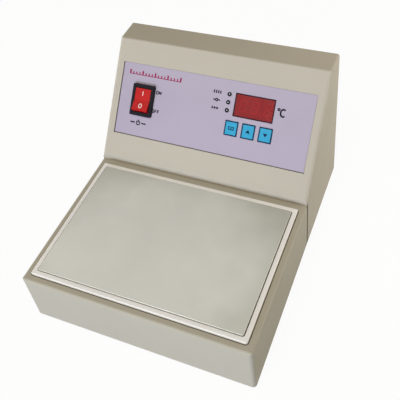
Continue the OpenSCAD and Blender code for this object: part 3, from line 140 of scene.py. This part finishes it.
def blend(tree, factor, first, second, kind="MIX"):
    """Two colours blended."""
    n = tree.nodes.new("ShaderNodeMix")
    n.data_type = "RGBA"
    n.blend_type = kind
    feed(tree, factor, n.inputs[MIX_FACTOR])
    feed(tree, first, n.inputs[MIX_FIRST])
    feed(tree, second, n.inputs[MIX_SECOND])
    return n.outputs[MIX_RESULT]


def mix_shaders(tree, share, first, second, output):
    """Two shaders or backgrounds blended, as what an output node shows."""
    n = tree.nodes.new("ShaderNodeMixShader")
    feed(tree, share, n.inputs["Fac"])
    tree.links.new(first.outputs[0], n.inputs[1])
    tree.links.new(second.outputs[0], n.inputs[2])
    tree.links.new(n.outputs["Shader"], tree.nodes[output].inputs["Surface"])


def noise(tree, coords, scale, detail, rough, stretch=None):
    n = node(tree, "ShaderNodeTexNoise", Scale=scale, Detail=detail, Roughness=rough)
    if stretch:
        m = node(tree, "ShaderNodeMapping", Scale=stretch)
        tree.links.new(coords, m.inputs["Vector"])
        coords = m.outputs["Vector"]
    tree.links.new(coords, n.inputs["Vector"])
    return n.outputs["Fac"]


def ramp(tree, factor, low, high):
    """A colour that goes from one stop to another, each a position and a colour."""
    r = tree.nodes.new("ShaderNodeValToRGB")
    for element, (position, colour) in zip(r.color_ramp.elements, (low, high)):
        element.position = position
        element.color = colour
    tree.links.new(factor, r.inputs["Fac"])
    return r.outputs["Color"]


def span(tree, factor, low, high, start=0.35, end=0.65):
    """A value that goes from low to high while the factor goes from start to end."""
    m = node(tree, "ShaderNodeMapRange", From_Min=start, From_Max=end, To_Min=low, To_Max=high)
    tree.links.new(factor, m.inputs["Value"])
    return m.outputs["Result"]


def object_coords(tree):
    return tree.nodes["Texture Coordinate"].outputs["Object"]


def falloff(tree, centre, reach):
    """One at a centre, falling evenly to nothing at the reach along each axis, in millimetres."""
    place = node(tree, "ShaderNodeMapping", Scale=[1 / (r * MM) for r in reach],
                 Location=[-c / r for c, r in zip(centre, reach)])
    tree.links.new(object_coords(tree), place.inputs["Vector"])
    ball = tree.nodes.new("ShaderNodeTexGradient")
    ball.gradient_type = "SPHERICAL"
    tree.links.new(place.outputs["Vector"], ball.inputs["Vector"])
    return ball.outputs["Fac"]


# Materials

IOR = 1.45
# Where the darkest and the palest mottle stand in the noise, and how soft a speck's edge is
MOTTLE_LOW, MOTTLE_HIGH = 0.3, 0.7
SPECK_EDGE = 0.06
# How far a face turns upward while the painted shade of upright faces gives way
TURN_START, TURN_END = 0.3, 0.8


def finish_for(name, colour, rough, mottle, vary, metallic=0.0, rough_vary=0.06, grain=1500.0,
               bump=0.12, depth=0.00005, stretch=None, coat=0.0, coat_rough=0.2, spec=0.5,
               speck=None, edge=None):
    """A surface with mottled colour, uneven roughness and a fine relief.

    A speck is a scale, a threshold and a colour. An edge is the colour of upright faces, a
    painted shade that makes them darker where less light falls on them.
    """
    mat = bpy.data.materials.new(name)
    mat.use_nodes = True
    tree = mat.node_tree
    shader = tree.nodes["Principled BSDF"]
    normal = tree.nodes.new("ShaderNodeTexCoord").outputs["Normal"]
    coords = object_coords(tree)
    broad = noise(tree, coords, mottle, 4.0, 0.6, stretch)
    tone = ramp(tree, broad, (MOTTLE_LOW, shade(colour, 1 - vary)),
                (MOTTLE_HIGH, shade(colour, 1 + vary)))
    if speck:
        scale, threshold, speck_colour = speck
        dots = noise(tree, coords, scale, 1.0, 0.4)
        mask = ramp(tree, dots, (threshold, BLACK), (threshold + SPECK_EDGE, WHITE))
        tone = blend(tree, mask, tone, speck_colour)
    # Painted shade: upright faces take the darker edge colour
    if edge:
        facing = tree.nodes.new("ShaderNodeSeparateXYZ")
        tree.links.new(normal, facing.inputs[0])
        upright = span(tree, facing.outputs["Z"], 1.0, 0.0, TURN_START, TURN_END)
        tone = blend(tree, upright, tone, edge)
    tree.links.new(tone, shader.inputs["Base Color"])
    patches = noise(tree, coords, mottle * 2.7, 3.0, 0.5, stretch)
    tree.links.new(span(tree, patches, max(0.02, rough - rough_vary), min(1, rough + rough_vary)),
                   shader.inputs["Roughness"])
    relief = noise(tree, coords, grain, 2.0, 0.5, stretch)
    bumps = node(tree, "ShaderNodeBump", Strength=bump, Distance=depth)
    tree.links.new(relief, bumps.inputs["Height"])
    tree.links.new(bumps.outputs["Normal"], shader.inputs["Normal"])
    for socket, value in (("Metallic", metallic), ("IOR", IOR), ("Coat Weight", coat),
                          ("Coat Roughness", coat_rough), ("Specular IOR Level", spec)):
        shader.inputs[socket].default_value = value
    return mat


def powder_coat(colour):
    """Matt powder coat: its relief, its low gloss and its darker specks."""
    return dict(mottle=14, vary=0.02, grain=1100, bump=0.22, depth=0.00006, spec=0.05,
                speck=(2600, 0.7, shade(colour, 0.9)))


CREAM = lin(181, 177, 163)
# Painted light: the head's cream is the base's cream made a little paler, for the extra light
# that falls on the head
LIT_CREAM = lin(187, 182, 169)
# Colour, roughness and the rest, for each material slot of the record
FINISHES = {
    "base_paint": (CREAM, 0.62, powder_coat(CREAM)),
    "head_paint": (LIT_CREAM, 0.62, powder_coat(LIT_CREAM)),
    "carrier_paint": (lin(66, 64, 70), 0.6, dict(mottle=60, vary=0.08)),
    "zinc_sheet": (lin(176, 178, 178), 0.4, dict(
        metallic=0.9, mottle=60, vary=0.12, grain=900, bump=0.1, rough_vary=0.12)),
    "foot_rubber": (lin(38, 38, 40), 0.75, dict(mottle=80, vary=0.12, grain=2200, bump=0.25)),
    "screw_steel": (lin(190, 190, 188), 0.28, dict(
        metallic=1.0, mottle=300, vary=0.08, grain=3500, bump=0.08)),
    # The gasket's edge colour is painted shade on its upright faces
    "gasket_silicone": (lin(247, 248, 249), 0.5, dict(
        mottle=40, vary=0.03, grain=1400, bump=0.12, speck=(900, 0.72, lin(222, 218, 210)),
        edge=lin(196, 190, 176))),
    # The plate's edge colour is painted shade on its upright sides
    "plate_aluminium": (lin(200, 200, 193), 0.5, dict(
        metallic=0.55, mottle=24, vary=0.035, rough_vary=0.04, grain=2600, bump=0.1,
        depth=0.00002, edge=lin(120, 114, 100))),
    "heater_mat": (lin(164, 112, 62), 0.55, dict(mottle=50, vary=0.08)),
    "insulation": (lin(218, 210, 190), 0.95, dict(
        mottle=120, vary=0.1, grain=700, bump=0.6, depth=0.0002)),
    "brass": (lin(206, 180, 106), 0.3, dict(metallic=1.0, mottle=200, vary=0.08)),
    "black_plastic": (lin(14, 14, 22), 0.45, dict(
        mottle=120, vary=0.1, grain=2600, bump=0.12, spec=0.16)),
    "dark_plastic": (lin(46, 34, 36), 0.45, dict(mottle=120, vary=0.1)),
    "white_plastic": (lin(226, 224, 216), 0.45, dict(mottle=90, vary=0.04)),
    "label_film": (lin(172, 164, 182), 0.45, dict(
        mottle=30, vary=0.018, grain=3200, bump=0.1, depth=0.00002, spec=0.3)),
    "red_filter": (lin(170, 30, 38), 0.22, dict(
        mottle=60, vary=0.04, grain=2500, bump=0.03, coat=0.5, coat_rough=0.08)),
    "lamp_lens": (lin(28, 26, 36), 0.2, dict(
        mottle=300, vary=0.1, grain=1500, bump=0.03, coat=0.15, coat_rough=0.05, spec=0.3)),
    "key_film": (lin(16, 152, 194), 0.34, dict(
        mottle=200, vary=0.04, grain=3000, bump=0.1, coat=0.15)),
    "circuit_board": (lin(40, 98, 62), 0.35, dict(
        mottle=220, vary=0.14, grain=1800, bump=0.12, coat=0.4)),
    "rocker_red": (lin(182, 18, 18), 0.3, dict(
        mottle=160, vary=0.05, grain=2200, bump=0.05, coat=0.1, coat_rough=0.08, spec=0.3)),
    "core_steel": (lin(84, 86, 90), 0.45, dict(
        metallic=0.8, mottle=200, vary=0.1, stretch=(1, 30, 1), bump=0.3)),
    "winding": (lin(190, 134, 50), 0.4, dict(
        mottle=300, vary=0.12, stretch=(1, 1, 12), bump=0.4)),
    "relay_blue": (lin(44, 104, 172), 0.35, dict(mottle=150, vary=0.06)),
    "terminal_green": (lin(62, 138, 80), 0.4, dict(mottle=150, vary=0.06)),
    "fuse_glass": (lin(208, 212, 214), 0.12, dict(metallic=0.2, mottle=300, vary=0.05)),
    "lead_jacket": (lin(132, 96, 62), 0.5, dict(mottle=150, vary=0.08)),
}
MATS = {name: finish_for(name, colour, rough, **more)
        for name, (colour, rough, more) in FINISHES.items()}


def see_through(mat, tint, share):
    """A surface that is partly seen through, as a smoked filter is."""
    tree = mat.node_tree
    through = node(tree, "ShaderNodeBsdfTransparent", Color=tint)
    mix_shaders(tree, share, tree.nodes["Principled BSDF"], through, "Material Output")


def base_colour(mat):
    """A material's tree, its base colour socket and what feeds that socket."""
    socket = mat.node_tree.nodes["Principled BSDF"].inputs["Base Color"]
    return mat.node_tree, socket, socket.links[0].from_socket


def painted_pale_middle(mat, centre, reach, dark):
    """Painted light: a cloudy tone that is palest round a centre and darker away from it,
    standing for soft reflections.
    """
    tree, socket, tone = base_colour(mat)
    clouds = noise(tree, object_coords(tree), 16, 3.0, 0.6)
    both = calc(tree, "ADD", falloff(tree, centre, reach), clouds)
    tint = ramp(tree, both, (0.5, dark), (1.0, WHITE))
    tree.links.new(blend(tree, 1.0, tone, tint, "MULTIPLY"), socket)


def painted_seam_shade(mat, reach, dark):
    """Painted shade beside the narrow seam on both side walls, darker towards the seam."""
    tree, socket, tone = base_colour(mat)
    middle_z = SIDE_STRIP_FOOT + SIDE_STRIP_H / 2
    for x in (-WALL_X, WALL_X):
        near = falloff(tree, (x, SEAM_Y, middle_z), reach)
        tint = ramp(tree, near, (0.0, WHITE), (0.6, dark))
        tone = blend(tree, 1.0, tone, tint, "MULTIPLY")
    tree.links.new(tone, socket)


see_through(MATS["red_filter"], tint=lin(240, 112, 112), share=0.52)
# Painted shade on both housings' side walls beside the seam
for paint in ("base_paint", "head_paint"):
    painted_seam_shade(MATS[paint], reach=(0.8, 1.6, 60), dark=(0.3, 0.28, 0.25, 1))
# Painted light on the plate: paler in the middle and darker toward its edges
painted_pale_middle(MATS["plate_aluminium"], centre=(PLATE.x - 10, PLATE.s - 9, PLATE.face),
            reach=(90, 85, 1000), dark=(0.72, 0.72, 0.68, 1))

# What the printed marks have in common, and what the lines of painted shade have in common
PRINT = dict(mottle=400, grain=3000, bump=0.08)
SHADE_LINES = dict(mottle=300, grain=2000, bump=0.2)
# Inks for the printed marks, and finishes for the pieces of painted shade and painted highlight
# Material name, colour, roughness and the rest
INK_AND_SHADE_TABLE = {
    "dark": ("ink_dark", lin(20, 16, 30), 0.5, dict(PRINT, vary=0.1, spec=0.1)),
    "scale": ("ink_scale", lin(146, 28, 80), 0.5, dict(PRINT, vary=0.08, spec=0.1)),
    "blue": ("ink_blue", lin(12, 32, 66), 0.5, dict(PRINT, vary=0.1, spec=0.1)),
    "white": ("ink_white", lin(238, 236, 232), 0.4, dict(PRINT, vary=0.05)),
    # Painted shade: the dark ring round the display stands for the gap between the window's cut
    # and the filter
    "frame": ("display_gap_shade", lin(34, 12, 22), 0.45, dict(PRINT, vary=0.08, bump=0.06, spec=0.1)),
    # Painted highlight on the lamps' tips, partly their pale chips
    "tip": ("lamp_tip_highlight", lin(176, 174, 186), 0.15, dict(
        mottle=300, vary=0.06, grain=3000, bump=0.03, coat=0.5, coat_rough=0.05)),
    "segment": ("digit_segment", lin(250, 236, 236), 0.4, dict(PRINT, vary=0.05, bump=0.06)),
    # Painted shade: the line at the foot of the head's lip
    "lip_shade_line": ("lip_shade_line", lin(170, 162, 146), 0.8, dict(SHADE_LINES, vary=0.08)),
    # Painted shade: the dark lines round the gasket and the plate
    "joint": ("joint_shade_line", lin(74, 66, 54), 0.8, dict(SHADE_LINES, vary=0.12)),
    # Painted shade: a dark sheet inside the seam on both side walls
    "seam": ("seam_shade_sheet", lin(34, 30, 26), 0.85, dict(SHADE_LINES, vary=0.12, spec=0.1)),
}
INK_AND_SHADE = {key: finish_for(name, colour, rough, **more)
       for key, (name, colour, rough, more) in INK_AND_SHADE_TABLE.items()}

for row in frame["record"]["subparts"]:
    mesh = NODES[row["node"]].data
    mesh.materials.clear()
    mesh.materials.append(MATS[row["material_slot"]])


# Outlines and flat solids

# How far the back of a mark sinks into what it is printed on, and what keeps two faces apart
SINK = 0.004
LAYER = 0.001


def loop(bm, points, n0, n1):
    """A closed flat solid over an outline."""
    low_ring = [bm.verts.new((x * MM, s * MM, n0 * MM)) for x, s in points]
    high_ring = [bm.verts.new((x * MM, s * MM, n1 * MM)) for x, s in points]
    bm.faces.new(list(reversed(low_ring)))
    bm.faces.new(high_ring)
    k = len(points)
    for i in range(k):
        j = (i + 1) % k
        bm.faces.new((low_ring[i], low_ring[j], high_ring[j], high_ring[i]))


def band(bm, outer, inner, n0, n1, closed=True):
    """A flat solid between two lines of points, either a ring or an open strip."""
    rows = []
    for pts, n in ((outer, n0), (inner, n0), (inner, n1), (outer, n1)):
        rows.append([bm.verts.new((x * MM, s * MM, n * MM)) for x, s in pts])
    k = len(outer)
    for i in range(k if closed else k - 1):
        j = (i + 1) % k
        for a in range(4):
            b = (a + 1) % 4
            bm.faces.new((rows[a][i], rows[a][j], rows[b][j], rows[b][i]))
    if not closed:
        bm.faces.new([r[0] for r in reversed(rows)])
        bm.faces.new([r[-1] for r in rows])


def arc(x, s, rx, ry, start=0.0, end=360.0, steps=36, closed=True):
    count = steps if closed else steps + 1
    angles = [math.radians(start + (end - start) * i / steps) for i in range(count)]
    return [(x + rx * math.cos(a), s + ry * math.sin(a)) for a in angles]


def rect(x, s, w, h):
    return [(x - w / 2, s - h / 2), (x + w / 2, s - h / 2),
            (x + w / 2, s + h / 2), (x - w / 2, s + h / 2)]


def round_rect(x, s, w, h, r):
    pts = []
    for cx, cs, start in ((1, 1, 0), (-1, 1, 90), (-1, -1, 180), (1, -1, 270)):
        pts += arc(x + cx * (w / 2 - r), s + cs * (h / 2 - r), r, r, start, start + 90, 6, False)
    return pts


def rect_round(box, more):
    """A rectangle round a box, wider and taller by the given length."""
    return rect(box.x, box.s, box.w + more, box.h + more)


def print_and_shade_piece(name, draw, body, mat, base=FILM, thick=0.03, place=PANEL):
    """A mark with its own small thickness, printed on the panel unless a place is given. The same
    serves for the pieces of painted shade and painted highlight.
    """
    bm = bmesh.new()
    draw(bm, base - SINK, base + thick)
    bmesh.ops.recalc_face_normals(bm, faces=bm.faces)
    bm.transform(place)
    mesh = bpy.data.meshes.new(name)
    bm.to_mesh(mesh)
    bm.free()
    obj = bpy.data.objects.new(name, mesh)
    scene.collection.objects.link(obj)
    mesh.materials.append(mat)
    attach(obj, body)


# Plain upright letters, as lines in a box of one by one
LETTERS = {
    "O": [[(0, 0), (0, 1), (1, 1), (1, 0), (0, 0)]],
    "N": [[(0, 0), (0, 1), (1, 0), (1, 1)]],
    "F": [[(0, 0), (0, 1), (1, 1)], [(0, 0.52), (0.8, 0.52)]],
}


def strokes(letters, x, s, h, w, gap, pen):
    """The straight strokes of a word, as outlines."""
    out = []
    for i, letter in enumerate(letters):
        for line in LETTERS[letter]:
            pts = [(x + i * (w + gap) + px * w, s + py * h) for px, py in line]
            for a, b in zip(pts, pts[1:]):
                d = Vector((b[0] - a[0], b[1] - a[1]))
                side = Vector((-d.y, d.x)).normalized() * pen / 2
                out.append([(a[0] + side.x, a[1] + side.y), (a[0] - side.x, a[1] - side.y),
                            (b[0] - side.x, b[1] - side.y), (b[0] + side.x, b[1] + side.y)])
    return out


def word(letters, x, s, h, w, gap, pen):
    outlines = strokes(letters, x, s, h, w, gap, pen)

    def draw(bm, n0, n1):
        for i, outline in enumerate(outlines):
            loop(bm, outline, n0, n1 + LAYER / 2 * i)
    return draw


# Marks on the label

TICKS, LONG_TICK_EVERY = 17, 4
RULE_X, RULE_S = -42.0, 57.2
RULE_W, TICK_RUN = 37.4, 36.6


def heat_scale(bm, n0, n1):
    """A plain heat scale: ticks along a rule."""
    loop(bm, rect(RULE_X, RULE_S, RULE_W, 0.45), n0, n1)
    for i in range(TICKS):
        wide, tall = (1.1, 2.6) if i % LONG_TICK_EVERY == 0 else (0.8, 1.5)
        x = RULE_X - TICK_RUN / 2 + i * TICK_RUN / (TICKS - 1)
        loop(bm, rect(x, RULE_S + 0.2 + tall / 2, wide, tall), n0, n1 + LAYER)


SWITCH_RIGHT = SWITCH.x + SWITCH.w / 2
mark_on = word("ON", SWITCH_RIGHT + 0.9, SWITCH.s + 5.8, h=1.9, w=1.25, gap=0.85, pen=0.62)
mark_off = word("OFF", SWITCH_RIGHT, SWITCH.s - 6.6, h=1.8, w=1.05, gap=0.75, pen=0.55)


def open_ring(bm, x, s, outer, inner, start, end, n0, n1):
    """Part of a ring, with an outer and an inner pair of radii."""
    band(bm, arc(x, s, *outer, start, end, 32, False), arc(x, s, *inner, start, end, 32, False),
         n0, n1, False)


def power_sign(bm, n0, n1):
    """An open ring with a bar in its gap, between two dashes."""
    x, s = SWITCH.x - 1.1, SWITCH.s - 15.4
    open_ring(bm, x, s, (1.65, 1.65), (0.95, 0.95), 120, 420, n0, n1)
    loop(bm, rect(x, s + 1.1, 0.75, 2.1), n0, n1 + LAYER)
    for side in (-1, 1):
        loop(bm, rect(x + side * 4.1, s, 3.2, 0.95), n0, n1)


def celsius_sign(bm, n0, n1):
    """A small ring and a C to the right of the display."""
    filter_right = FILTER.x + FILTER.w / 2
    x, s = filter_right + 2.7, FILTER.s + 2.0
    band(bm, arc(x, s, 1.0, 1.0), arc(x, s, 0.2, 0.2), n0, n1)
    open_ring(bm, filter_right + 5.7, FILTER.s + 0.2, (2.15, 2.8), (1.1, 1.75), 48, 312, n0, n1)


def lamp_row(i):
    """How far up the slope a lamp stands: -1 is the lowest, 0 the middle and 1 the highest."""
    return LAMPS.s + i * LAMP_PITCH


WAVE_STEPS = 8


def heat_sign(bm, n0, n1):
    """Four upright heat waves beside the highest lamp."""
    foot, tall, half_pen = lamp_row(1) - 0.65, 1.9, 0.42
    for k in range(4):
        x = 0.3 + k * 1.45
        pts = [(x + 0.2 * math.sin(t * math.pi / 3), foot + tall * t / WAVE_STEPS)
               for t in range(WAVE_STEPS + 1)]
        band(bm, [(p[0] - half_pen, p[1]) for p in pts], [(p[0] + half_pen, p[1]) for p in pts],
             n0, n1, False)


def set_sign(bm, n0, n1):
    """A ring on a line, for the set point, beside the middle lamp."""
    x, s = 2.7, lamp_row(0) + 0.3
    band(bm, arc(x, s, 1.1, 1.1), arc(x, s, 0.4, 0.4), n0, n1)
    for side in (1, -1):
        loop(bm, rect(x + side * 1.7, s, 1.3, 0.75), n0, n1)


def run_sign(bm, n0, n1):
    """Three running arrows beside the lowest lamp."""
    s = lamp_row(-1) + 0.25
    for k in range(3):
        x = 0.2 + k * 1.6
        loop(bm, [(x, s - 1.0), (x + 1.55, s), (x, s + 1.0)], n0, n1)


TIP_R, TIP_POINTS, TIP_RINGS = 0.45, 24, 4
TIP_RING_ANGLE = 26


def lamp_highlights(bm, n0, n1):
    """A pale spot where each lamp's domed tip comes through the film: partly the lens's pale chip
    and partly a painted highlight.
    """
    for i in (-1, 0, 1):
        rings = []
        for k in range(TIP_RINGS):
            up = math.radians(k * TIP_RING_ANGLE)
            r = TIP_R * math.cos(up)
            n = n0 + (n1 - n0) * math.sin(up)
            rings.append([bm.verts.new((x * MM, s * MM, n * MM))
                          for x, s in arc(LAMPS.x, lamp_row(i), r, r, steps=TIP_POINTS)])
        bm.faces.new(list(reversed(rings[0])))
        for a, b in zip(rings, rings[1:]):
            for k in range(TIP_POINTS):
                after = (k + 1) % TIP_POINTS
                bm.faces.new((a[k], a[after], b[after], b[k]))
        bm.faces.new(rings[-1])


# A dark ring of painted shade round the display filter
def display_gap_ring(bm, n0, n1):
    band(bm, rect_round(FILTER, 0.3), rect_round(FILTER, -1.2), n0, n1)


DIGIT_PITCH, DIGIT_W, DIGIT_H, DIGIT_PEN, DIGIT_SLANT = 8.2, 4.4, 8.4, 1.05, 0.09
# Each digit lies on the floor of a pocket in the module behind the filter
POCKET_DEPTH = 0.3


def digits(bm, n0, n1):
    """Three unlit digits, each of seven bars and a point."""
    w, h, t, cs = DIGIT_W, DIGIT_H, DIGIT_PEN, FILTER.s
    for i in (-1, 0, 1):
        cx = FILTER.x + i * DIGIT_PITCH
        bars = [(cx, s, w - t - 0.5, t) for s in (cs - h / 2 + t / 2, cs, cs + h / 2 - t / 2)]
        bars += [(x, s, t, h / 2 - t) for x in (cx - w / 2 + t / 2, cx + w / 2 - t / 2)
                 for s in (cs - h / 4, cs + h / 4)]
        for bar in bars:
            loop(bm, [(x + (s - cs) * DIGIT_SLANT, s) for x, s in rect(*bar)], n0, n1)
        loop(bm, arc(cx + w / 2 + 0.75, cs - h / 2 + 0.5, 0.5, 0.5, steps=20), n0, n1)


print_and_shade_piece("heat_scale", heat_scale, "platform", INK_AND_SHADE["scale"])
for name, draw in (("mark_on", mark_on), ("mark_off", mark_off), ("mark_power", power_sign),
                   ("mark_celsius", celsius_sign), ("mark_heat", heat_sign),
                   ("mark_set", set_sign), ("mark_run", run_sign)):
    print_and_shade_piece(name, draw, "platform", INK_AND_SHADE["dark"])
# Painted highlights on the lamps' tips
print_and_shade_piece("lamp_highlights", lamp_highlights, "platform", INK_AND_SHADE["tip"], base=FILM - 0.02, thick=0.24)
# Painted shade round the display filter
print_and_shade_piece("display_gap_shading", display_gap_ring, "platform", INK_AND_SHADE["frame"])
print_and_shade_piece("digit_segments", digits, "platform", INK_AND_SHADE["segment"], base=MODULE_FACE - POCKET_DEPTH,
        thick=0.05)


# Marks on the keys

def set_key_sign(bm, key, n0, n1):
    band(bm, rect(key.x, key.s, 3.8, 2.2), rect(key.x, key.s, 2.8, 1.2), n0, n1)
    loop(bm, rect(key.x, key.s, 1.2, 0.5), n0, n1)


def triangle_sign(bm, key, up, n0, n1):
    """A triangle that points up the slope, or down it where up is -1."""
    foot, tip = key.s - 0.9 * up, key.s + 1.2 * up
    loop(bm, [(key.x - 1.5, foot), (key.x + 1.5, foot), (key.x, tip)][::up], n0, n1)


for name, key in KEYS.items():
    def border(bm, n0, n1, key=key):
        band(bm, rect_round(key, -0.05), rect_round(key, -1.35), n0, n1)

    def sign(bm, n0, n1, name=name, key=key):
        if name == "set_key":
            set_key_sign(bm, key, n0, n1)
        else:
            triangle_sign(bm, key, 1 if name == "raise_key" else -1, n0, n1)
    print_and_shade_piece(name + "_border", border, name, INK_AND_SHADE["blue"], base=key.face)
    print_and_shade_piece(name + "_sign", sign, name, INK_AND_SHADE["blue"], base=key.face)


# Marks on the rocker

BAR_UP, RING_DOWN = 4.5, 4.0
# The rocker's face has two flat halves, and the lower one leans out from a valley between them
VALLEY_N = 1.1
HALF_ANGLE = math.radians(22)
LOWER_HALF = PANEL @ (Matrix.Translation((0, SWITCH.s * MM, VALLEY_N * MM))
                      @ Matrix.Rotation(-HALF_ANGLE, 4, "X"))


def on_bar(bm, n0, n1):
    loop(bm, rect(SWITCH.x, SWITCH.s + BAR_UP, 0.45, 2.8), n0, n1)


def off_ring(bm, n0, n1):
    band(bm, arc(SWITCH.x, -RING_DOWN, 1.25, 1.6), arc(SWITCH.x, -RING_DOWN, 0.75, 1.1), n0, n1)


print_and_shade_piece("rocker_bar", on_bar, "rocker", INK_AND_SHADE["white"], base=VALLEY_N, thick=0.04)
print_and_shade_piece("rocker_ring", off_ring, "rocker", INK_AND_SHADE["white"], base=0.0, thick=0.04, place=LOWER_HALF)


# Painted shade: dark rings round the gasket and the plate, and strips inside the seam

def shade_ring_round(box, outer, inner):
    """A thin ring of painted shade round a flat piece.

    An outline is given by how much wider and longer than the piece it is, and by the radius of
    its corners.
    """
    def draw(bm, n0, n1):
        rings = [round_rect(box.x, box.s, box.w + wider, box.h + longer, r)
                 for wider, longer, r in (outer, inner)]
        band(bm, *rings, n0, n1)
    return draw


# Dark strips of painted shade inside the seam on both side walls
def side_shade_strips(bm, n0, n1):
    for side in (-1, 1):
        loop(bm, rect(side * (WALL_X - 0.3), SEAM_Y, 0.5, STRIP_W), n0, n1)


# A strip of painted shade just below the rim inside the seam, at the foot of the head's lip
def top_shade_strip(bm, n0, n1):
    loop(bm, rect(0, SEAM_Y, BASE.w - 1.4, STRIP_W), n0, n1)


# Painted shade where the gasket meets the rim and where the plate meets the gasket
gasket_shade_ring = shade_ring_round(GASKET, (0.9, 0.9, 1.85), (-0.1, -0.1, 1.35))
plate_shade_ring = shade_ring_round(PLATE, (1.0, 0.5, 1.3), (0.1, 0.1, 1.05))
# Name, drawing, material, underside and thickness
for name, draw, mat, base, thick in (
        ("gasket_shade_ring", gasket_shade_ring, "joint", BASE.face, 0.12),
        ("plate_shade_ring", plate_shade_ring, "joint", GASKET.face, 0.03),
        ("seam_side_shade_strips", side_shade_strips, "seam", SIDE_STRIP_FOOT, SIDE_STRIP_H),
        ("seam_top_shade_strip", top_shade_strip, "lip_shade_line", BASE.face - 0.6, 0.45)):
    print_and_shade_piece(name, draw, "platform", INK_AND_SHADE[mat], base=base, thick=thick, place=LEVEL)

# Softer edges on cut and moulded pieces, with their widths in millimetres
EDGE_WIDTHS = {"set_key": 0.12, "raise_key": 0.12, "lower_key": 0.12, "rocker": 0.25,
               "base_housing": 0.12, "heater_clamp_plate": 0.2}
for name, width in EDGE_WIDTHS.items():
    bevel = NODES[name].modifiers.new("edge", "BEVEL")
    bevel.width = width * MM
    bevel.segments = 2
    bevel.limit_method = "ANGLE"
    bevel.angle_limit = math.radians(40)
    bevel.use_clamp_overlap = True
    bevel.harden_normals = False


# Floor and daylight

def seen(tree):
    """One for a ray from the camera, or one that a glossy or clear surface sends on."""
    path = tree.nodes.new("ShaderNodeLightPath")
    out = path.outputs["Is Camera Ray"]
    for other in ("Is Glossy Ray", "Is Transmission Ray"):
        out = calc(tree, "MAXIMUM", out, path.outputs[other])
    return out


FLOOR_R = 4.0
FLOOR_TONE = 0.45
# How much of the floor that the camera sees is plain white. The rest of it takes the shadow
WHITE_SHARE = 0.935

bm = bmesh.new()
bmesh.ops.create_circle(bm, cap_ends=True, segments=96, radius=FLOOR_R)
floor_mesh = bpy.data.meshes.new("floor")
bm.to_mesh(floor_mesh)
bm.free()
floor = bpy.data.objects.new("floor", floor_mesh)
scene.collection.objects.link(floor)
floor_mat = finish_for("floor_white", (FLOOR_TONE, FLOOR_TONE, FLOOR_TONE, 1), 0.8, mottle=2,
                       vary=0.01, grain=300, bump=0.02)
tree = floor_mat.node_tree
floor_shader = tree.nodes["Principled BSDF"]
in_view = seen(tree)
tree.links.new(span(tree, in_view, FLOOR_TONE, 1.0, 0.0, 1.0), floor_shader.inputs["Base Color"])
glow = node(tree, "ShaderNodeEmission", Color=WHITE, Strength=1.0)
mix_shaders(tree, calc(tree, "MULTIPLY", in_view, WHITE_SHARE), floor_shader, glow,
            "Material Output")
floor_mesh.materials.append(floor_mat)

# A dim warm sky lights the part, and the camera sees plain white behind it
world = bpy.data.worlds.new("studio")
scene.world = world
world.use_nodes = True
tree = world.node_tree
sky = tree.nodes["Background"]
sky.inputs["Color"].default_value = (1.0, 0.89, 0.73, 1)
sky.inputs["Strength"].default_value = 0.126
white = node(tree, "ShaderNodeBackground", Color=WHITE, Strength=1.0)
mix_shaders(tree, seen(tree), sky, white, "World Output")

# Lamps: name, place, aim, size, power and colour
STUDIO_LAMPS = (
    ("key", (-0.18, -1.25, 0.2), (0, 0, 0.05), (0.9, 0.3), 10.6, (0.91, 1.0, 1.18)),
    ("side", (0.45, 0.26, 0.09), (0.07, 0.03, 0.06), (0.4, 0.14), 0.8, (1.0, 0.94, 0.84)),
    ("near", (0.24, 0.14, 0.24), (0.07, 0.05, 0.07), (0.2, 0.2), 0.2, (1.0, 0.94, 0.84)),
    ("top", (-0.1, -0.5, 0.9), (0, -0.02, 0.05), (0.5, 0.4), 4.5, (1.01, 0.92, 0.78)),
    ("left", (-0.8, 0.05, 0.12), (-0.07, 0, 0.05), (0.4, 0.2), 1.8, (1.0, 0.95, 0.86)),
    ("rear", (0.0, 1.2, 0.1), (0, 0, 0.05), (0.9, 0.3), 7.0, (0.97, 1.0, 1.0)),
)
for name, place, aim, size, power, colour in STUDIO_LAMPS:
    data = bpy.data.lights.new(name, "AREA")
    data.shape = "RECTANGLE"
    data.size, data.size_y = size
    data.energy = power
    data.color = colour
    obj = bpy.data.objects.new(name, data)
    scene.collection.objects.link(obj)
    obj.location = place
    obj.rotation_mode = "QUATERNION"
    obj.rotation_quaternion = (Vector(aim) - Vector(place)).to_track_quat("-Z", "Y")

# The camera of the photo
cam_data = bpy.data.cameras.new("photo_camera")
cam = bpy.data.objects.new("photo_camera", cam_data)
scene.collection.objects.link(cam)
scene.camera = cam
cam.location = (0.13866, -0.23375, 0.35384)
cam.rotation_euler = Euler([math.radians(a) for a in (46.452, 6.498, 22.949)], "XYZ")
cam_data.sensor_width = 36.0
cam_data.lens = 58.8
cam_data.shift_x = 0.0211
cam_data.shift_y = -0.1755
cam_data.clip_start = 0.01
cam_data.clip_end = 20.0
scene.view_settings.view_transform = "Standard"
